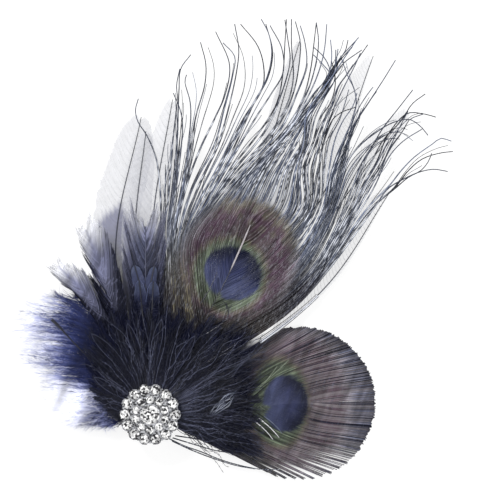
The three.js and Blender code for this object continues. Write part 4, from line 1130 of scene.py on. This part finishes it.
def fan_feather(fan, share):
    """One narrow feather of a fan, as a row like those of the plain feathers, and its reach."""
    first, last = fan["rows"][0][0], fan["rows"][-1][0]
    angle = first + (last - first) * share + random.normal(0, 1.5)
    reach = fan_reach(fan["rows"], angle) * random.uniform(0.7, 1.0)
    level = fan["level"] + random.uniform(-0.1, 0.2)
    bend = polar(angle + random.normal(0, 3), reach * 0.55)
    half = reach * 0.045 + 0.3
    return dict(level=level, vane=0.12, left=half, right=half, sweep=3.4, ragged=0.05,
                root=polar(angle, 3.5), bend=bend, tip=polar(angle, reach)), reach


def build_fan(fan):
    """A fan of narrow glossy feathers with loose strands over them."""
    bundle = Bundle()
    add_fan_sheet(bundle, fan)
    for index in range(fan["hackles"]):
        row, reach = fan_feather(fan, (index + 0.5) / fan["hackles"])
        for path, shares, along, _ in vane_barbs(row, 40, 5):
            grain = random.normal(1, 0.3, (len(shares), 1, 1))
            tint = layered(plain("black_blue", shares), ("ink", smoothstep(along, 0.4, 1.0))) * grain
            bundle.rods(path, 0.2 * (1 - 0.6 * along), tint, flat=0.5, weight=0.2)
        add_shaft(bundle, shaft_of(row), row["level"], (0.3, 0.1), ("black_blue", "ink"))
        if fan is UPPER_FAN and index % 4 == 1:
            add_lace(bundle, row, reach * 0.035 + 0.5)
    add_fan_strands(bundle, fan)
    if fan is UPPER_FAN:
        for stray in EYE_STRAYS:
            add_stray(bundle, stray, fan["level"] - 1.2, 0.3)
    else:
        add_silver_strokes(bundle, fan["level"])
    bundle.build(fan["name"] + "_strands", [DARK, QUILL, VANE], "dark_strand", fan["name"])


def add_fan_sheet(bundle, fan):
    """The dark mass under the strands, as one sheet that thins out near its rim."""
    angles = np.linspace(fan["rows"][0][0], fan["rows"][-1][0], 60)
    shares = np.linspace(0.15, 0.96, 14)
    flat = polar(angles[:, None], fan_reach(fan["rows"], angles)[:, None] * shares)
    cover = fade(shares + random.normal(0, 0.05, (len(angles), 1)), 0.8, 0.97)
    bundle.sheet(rest_heights(flat, fan["level"] - 0.4), "black_blue", cover)


def add_lace(bundle, row, wide):
    """The pale pointed outline of a narrow feather."""
    end = 0.97
    shares = np.linspace(0.3, end, 24)
    points, heading = even_points(shaft_of(row), shares)
    bulge = wide * np.sin(math.pi * (shares / end) ** 2.2) ** 0.7
    tint = layered(plain("black_blue", shares), ("ash", 0.55 * smoothstep(shares, 0.3, 0.7)))
    for side in (1, -1):
        flat = points + left_of(heading) * (side * bulge)[:, None]
        path = rest_heights(flat, row["level"], lift=OVERLAY_LIFT)
        bundle.rod(path, 0.13, tint, flat=0.7, weight=0.3)


def add_fan_strands(bundle, fan):
    """Loose strands over a fan; some of them rise and catch the light."""
    count = fan["strands"]
    angles = [row[0] for row in fan["rows"]]
    angle = random.uniform(min(angles), max(angles), count)
    reach = fan_reach(fan["rows"], angle) * random.uniform(0.55, 1.04, count)
    shares = np.linspace(0, 1, 24)
    turn = random.normal(0, 5, (count, 1)) * shares ** 2
    turn = turn + wave((count, len(shares)), (0.6, 1.3, 3.1), 4.0)
    flat = polar(angle[:, None] + turn, 4 + (reach[:, None] - 4) * shares)
    lift = random.uniform(0.1, 1.0, (count, 1)) * smoothstep(shares, 0.25, 0.7)
    pale = (random.uniform(0, 1, (count, 1)) > 0.8) * random.uniform(0.2, 1.0, (count, 1))
    light = pale * smoothstep(shares, 0.1, 0.35) * (1 - 0.5 * smoothstep(shares, 0.8, 1.0))
    path = rest_heights(flat, fan["level"], lift=lift + 0.5 * light)
    tint = layered(plain("black_blue", light), ("ash", 0.8 * light))
    bundle.rods(path, 0.15 * (1 - 0.5 * shares), tint, weight=0.3)
    add_barbules(bundle, path, tint, shares > 0.3, 0.3, 2.2, 1.2, 0.12, 0.1)


def add_silver_strokes(bundle, level):
    """A patch of short silvery strokes, widest in the middle."""
    size = (SILVER_STROKES, 1)
    shares = np.linspace(0, 1, 10)
    first, last = np.array(SILVER_PATCH)
    aside = random.uniform(-2.0, 2.0, size)
    place = random.uniform(0, 0.6, size) + random.uniform(0.3, 0.5, size) * shares
    line = first + (last - first) * place[..., None]
    aside = aside * (0.4 + 0.6 * np.sin(math.pi * place)) + wave(place.shape, (0.5, 1.0), 0.5)
    path = rest_heights(sideways(line, aside), level, lift=1.1)
    bright = random.uniform(0, 0.6, size) * np.sin(math.pi * shares)
    tint = layered(plain("herl_light", place), ("silver", bright))
    bundle.rods(path, 0.11 * np.sin(math.pi * (0.1 + 0.85 * shares)), tint, weight=0.2)


def build_low_herls():
    bundle = Bundle()
    shares = np.linspace(0, 1, 40)
    lines = [even_points(line, shares, TRACE_FINENESS)[0] for line in LOW_HERLS]
    path = rest_heights(np.array(lines), LARGE_LEVEL)
    tint = plain("herl", path[..., 0])
    bundle.rods(path, 0.32 * (1 - 0.4 * shares), tint, weight=0.4)
    add_barbules(bundle, path, tint, shares < 0.9, 0.6, 0.6, 0.5, 0.2)
    bundle.build("loose_low_herl_strands", [HERL, QUILL], "peacock_herl", "loose_low_herls")


def plume_lines(shares):
    """Flat lines of the plume's barbs, from beside the brooch out to its rim."""
    edge_y, edge_x = zip(*MARABOU_EDGE)
    end_y = random.uniform(edge_y[0], edge_y[-1], PLUME_BARBS)
    end_x = np.interp(end_y, edge_y, edge_x) * random.uniform(0.62, 1.16, PLUME_BARBS)
    start_y = 2 + 0.66 * end_y + random.normal(0, 2.5, PLUME_BARBS)
    start_x = random.uniform(-24, -7, PLUME_BARBS)
    middle = (0.55 * start_x + 0.45 * end_x, 0.3 * start_y + 0.7 * end_y)
    controls = np.array([(start_x, start_y), middle, (end_x, end_y)]).transpose(2, 0, 1)
    flat = spline(controls, shares)
    return sideways(flat, wave(flat.shape[:2], (0.5, 0.9), 1.2) * shares)


def marabou_tint(flat, noise):
    """Deep navy near the brooch, royal blue, then almost white at the ends."""
    out = noise - flat[..., 0] - 2 * smoothstep(flat[..., 1], 20, 40)
    low = 17 * fade(flat[..., 1], 7, 16)
    return layered(plain("royal_deep", out), ("royal", smoothstep(out, 23, 31)),
                   ("periwinkle", smoothstep(out, 31 - low, 40 - low)),
                   ("mist", smoothstep(out, 36 - low, 44 - low)))


def add_down(bundle, paths, tints):
    """Fine fluff on every barb."""
    size = (len(paths), PLUME_FLUFF)
    row, index, part = spots_along(paths, random.uniform(0.05, 1.0, size))
    roots = value_at(paths, row, index, part)
    heading = unit(paths[row, index + 1] - paths[row, index])
    aside = random.normal(0, 1, roots.shape) * [1, 1, 0.6]
    tips = roots + unit(heading * 1.6 + aside * 0.5) * random.uniform(2.0, 6.5, size + (1,))
    tips[..., 2] = np.maximum(tips[..., 2], 0.3)
    colour = value_at(tints, row, index, part)
    pale = layered(colour, ("periwinkle", 0.1))
    roots, tips, colour, pale = (values.reshape(-1, 3) for values in (roots, tips, colour, pale))
    bundle.hairs(roots, tips, 0.13, colour, pale, 0.4)


def build_marabou():
    """The plume on the left: barbs at all heights of the stack, their fluff, and one dark quill."""
    bundle = Bundle()
    size = (PLUME_BARBS, 1)
    shares = np.linspace(0, 1, 10)
    flat = plume_lines(shares)
    spread = smoothstep(np.hypot(flat[..., 0], flat[..., 1]), 12, 34)
    layer = random.uniform(-1, 1, size)
    height = PLUME_ROOT + (PLUME_MIDDLE - PLUME_ROOT) * spread + layer * 3.2 * spread
    path = np.concatenate([flat, np.maximum(height, 0.5)[..., None]], axis=2)
    noise = random.normal(0, 3.0, size) - 9 * (random.uniform(0, 1, size) > 0.75)
    tint = marabou_tint(flat, noise)
    bundle.rods(path, 0.1 * (1 - 0.6 * shares), tint, flat=0.9, weight=0.4)
    add_down(bundle, path, tint)
    shares = np.linspace(0, 1, 40)
    points, _ = even_points(MARABOU_QUILL, shares)
    radius = 0.3 + 0.35 * smoothstep(shares, 0.75, 0.95)
    bundle.rod(rest_heights(points, 2, lift=2), radius, "black_blue", flat=0.9, sides=8, slot=HORN)
    bundle.build("blue_marabou_down", [DOWN, QUILL], "marabou_down", "blue_marabou")


def cut_stone(name, radius, turn, place):
    """A round brilliant: table, star, kite and girdle facets over a pointed pavilion."""
    points, rows = [], []
    for scale, height, phase, count in CUT_RINGS:
        rows.append(range(len(points), len(points) + count))
        for index in range(count):
            angle = 2 * math.pi * (index + phase) / count + turn
            points.append((scale * math.cos(angle), scale * math.sin(angle), height))
    points.append((0, 0, CUT_POINT))
    table, crown, girdle, lower = rows
    faces = [tuple(table)]
    for i in range(8):
        after = (i + 1) % 8
        faces.append((table[i], table[i - 1], crown[i]))
        faces.append((crown[i], crown[after], table[i]))
        faces.append((girdle[2 * i], girdle[2 * i + 1], crown[i]))
        faces.append((girdle[2 * i + 1], girdle[(2 * i + 2) % 16], crown[after]))
        faces.append((crown[i], girdle[2 * i + 1], crown[after]))
    for i in range(16):
        after = (i + 1) % 16
        faces.append((lower[i], lower[after], girdle[after], girdle[i]))
        faces.append((lower[after], lower[i], len(points) - 1))
    mesh = bpy.data.meshes.new(name)
    mesh.from_pydata(((np.array(points) * radius + place) * MM).tolist(), [], faces)
    mesh.validate()
    return add_object(name, mesh)


def stone_seats():
    """Every stone of the brooch: its row, its number in it, its direction and its middle."""
    for row in STONE_ROWS:
        for index in range(row["count"]):
            degrees = row["phase"] + 360 * index / row["count"]
            yield row, index, math.radians(degrees), polar(degrees, row["ring"])


def build_stones(glass):
    for row, index, _, middle in stone_seats():
        node = row["name"] if row["count"] == 1 else f"{row['name']}_{index + 1}"
        seat = SETTING_BASE + row["top"] + STONE_CLEARANCE + 0.08 * row["radius"]
        piece = cut_stone(node + "_cut", row["radius"], random.uniform(0, 1), (*middle, seat))
        piece.data.materials.append(glass)
        place_piece(piece, "clear_stone", node)


def build_claws(metal):
    """Round claw beads between the stones."""
    bundle = Bundle()
    for row, _, angle, middle in stone_seats():
        beads, radius = (8, 0.35) if row["count"] == 1 else (4, 0.3)
        for k in range(beads):
            spot = angle + math.pi / beads + 2 * math.pi * k / beads
            aside = (row["radius"] + 0.05) * np.array([math.cos(spot), math.sin(spot)])
            add_bead(bundle, middle + aside, SETTING_BASE + row["top"] + 0.45, radius)
    bundle.build("brooch_claws", [metal], "setting_metal")


def add_bead(bundle, middle, height, radius):
    """A small ball with a flattened foot."""
    lift = np.linspace(-0.9, 1.0, 5)
    scale = radius * np.sqrt(np.clip(1 - lift ** 2, 0.0004, 1))
    flat = middle + polar(45 * np.arange(8), scale[:, None])
    up = np.broadcast_to((height + lift * radius)[:, None, None], flat.shape[:2] + (1,))
    bundle.tubes(np.concatenate([flat, up], axis=2), "silver")


def dress_metal():
    plate = metal_material("silver_plate", (0.75, 0.76, 0.8), 0.16, 1.0, 900)
    claws = metal_material("silver_claws", (0.9, 0.91, 0.94), 0.1, 0.3)
    steel = metal_material("clip_steel", (0.62, 0.63, 0.66), 0.3, 0.3)
    for node, material in (("brooch_setting", plate), ("hair_clip", steel)):
        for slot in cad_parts[node].material_slots:
            slot.material = material
    build_claws(claws)


def build_floor():
    bpy.ops.mesh.primitive_plane_add(size=6, location=(0, 0, -0.0002))
    floor = bpy.context.object
    floor.name = "floor"
    paper = Surface("lit_paper")
    shade = paper.ranged(paper.noise(3), 0.3, 0.7, 0.24, 0.26)
    floor.data.materials.append(paper.finish({
        "Base Color": shade, "Roughness": 0.9, "Specular IOR Level": 0.0,
        "Emission Color": (1, 1, 1, 1), "Emission Strength": PAPER_GLOW}))


def add_lamp(name, place, size, power):
    """A round lamp whose beam meets the middle of the clip."""
    data = bpy.data.lights.new(name, "AREA")
    data.shape = "DISK"
    data.size = size
    data.energy = power
    lamp = add_object(name, data)
    lamp.location = place
    x, y, z = (t - p for t, p in zip(LAMP_TARGET, lamp.location))
    lamp.rotation_euler = (math.acos(-z / math.sqrt(x * x + y * y + z * z)), 0, math.atan2(-x, y))


def build_stage():
    scene = bpy.context.scene
    build_floor()
    scene.world = bpy.data.worlds.new("studio")
    scene.world.use_nodes = True
    sky = scene.world.node_tree
    feed(sky, sky.nodes["Background"], {"Color": (1, 1, 1, 1), "Strength": WORLD_GLOW})
    for row in LAMPS:
        add_lamp(**row)
    scene.camera = add_object("camera", bpy.data.cameras.new("camera"))
    scene.camera.location = CAMERA_PLACE
    scene.camera.data.sensor_width = SENSOR_WIDTH
    scene.camera.data.lens = SENSOR_WIDTH * (CAMERA_PLACE[2] - FOCUS_HEIGHT) / VIEW_WIDTH
    scene.view_settings.view_transform = "Standard"


build_stage()
for feather in FEATHERS:
    build_plain_feather(feather)
build_large_peacock()
build_small_peacock()
build_fan(UPPER_FAN)
build_fan(RIGHT_FAN)
build_low_herls()
build_marabou()
dress_metal()
build_stones(stone_material())
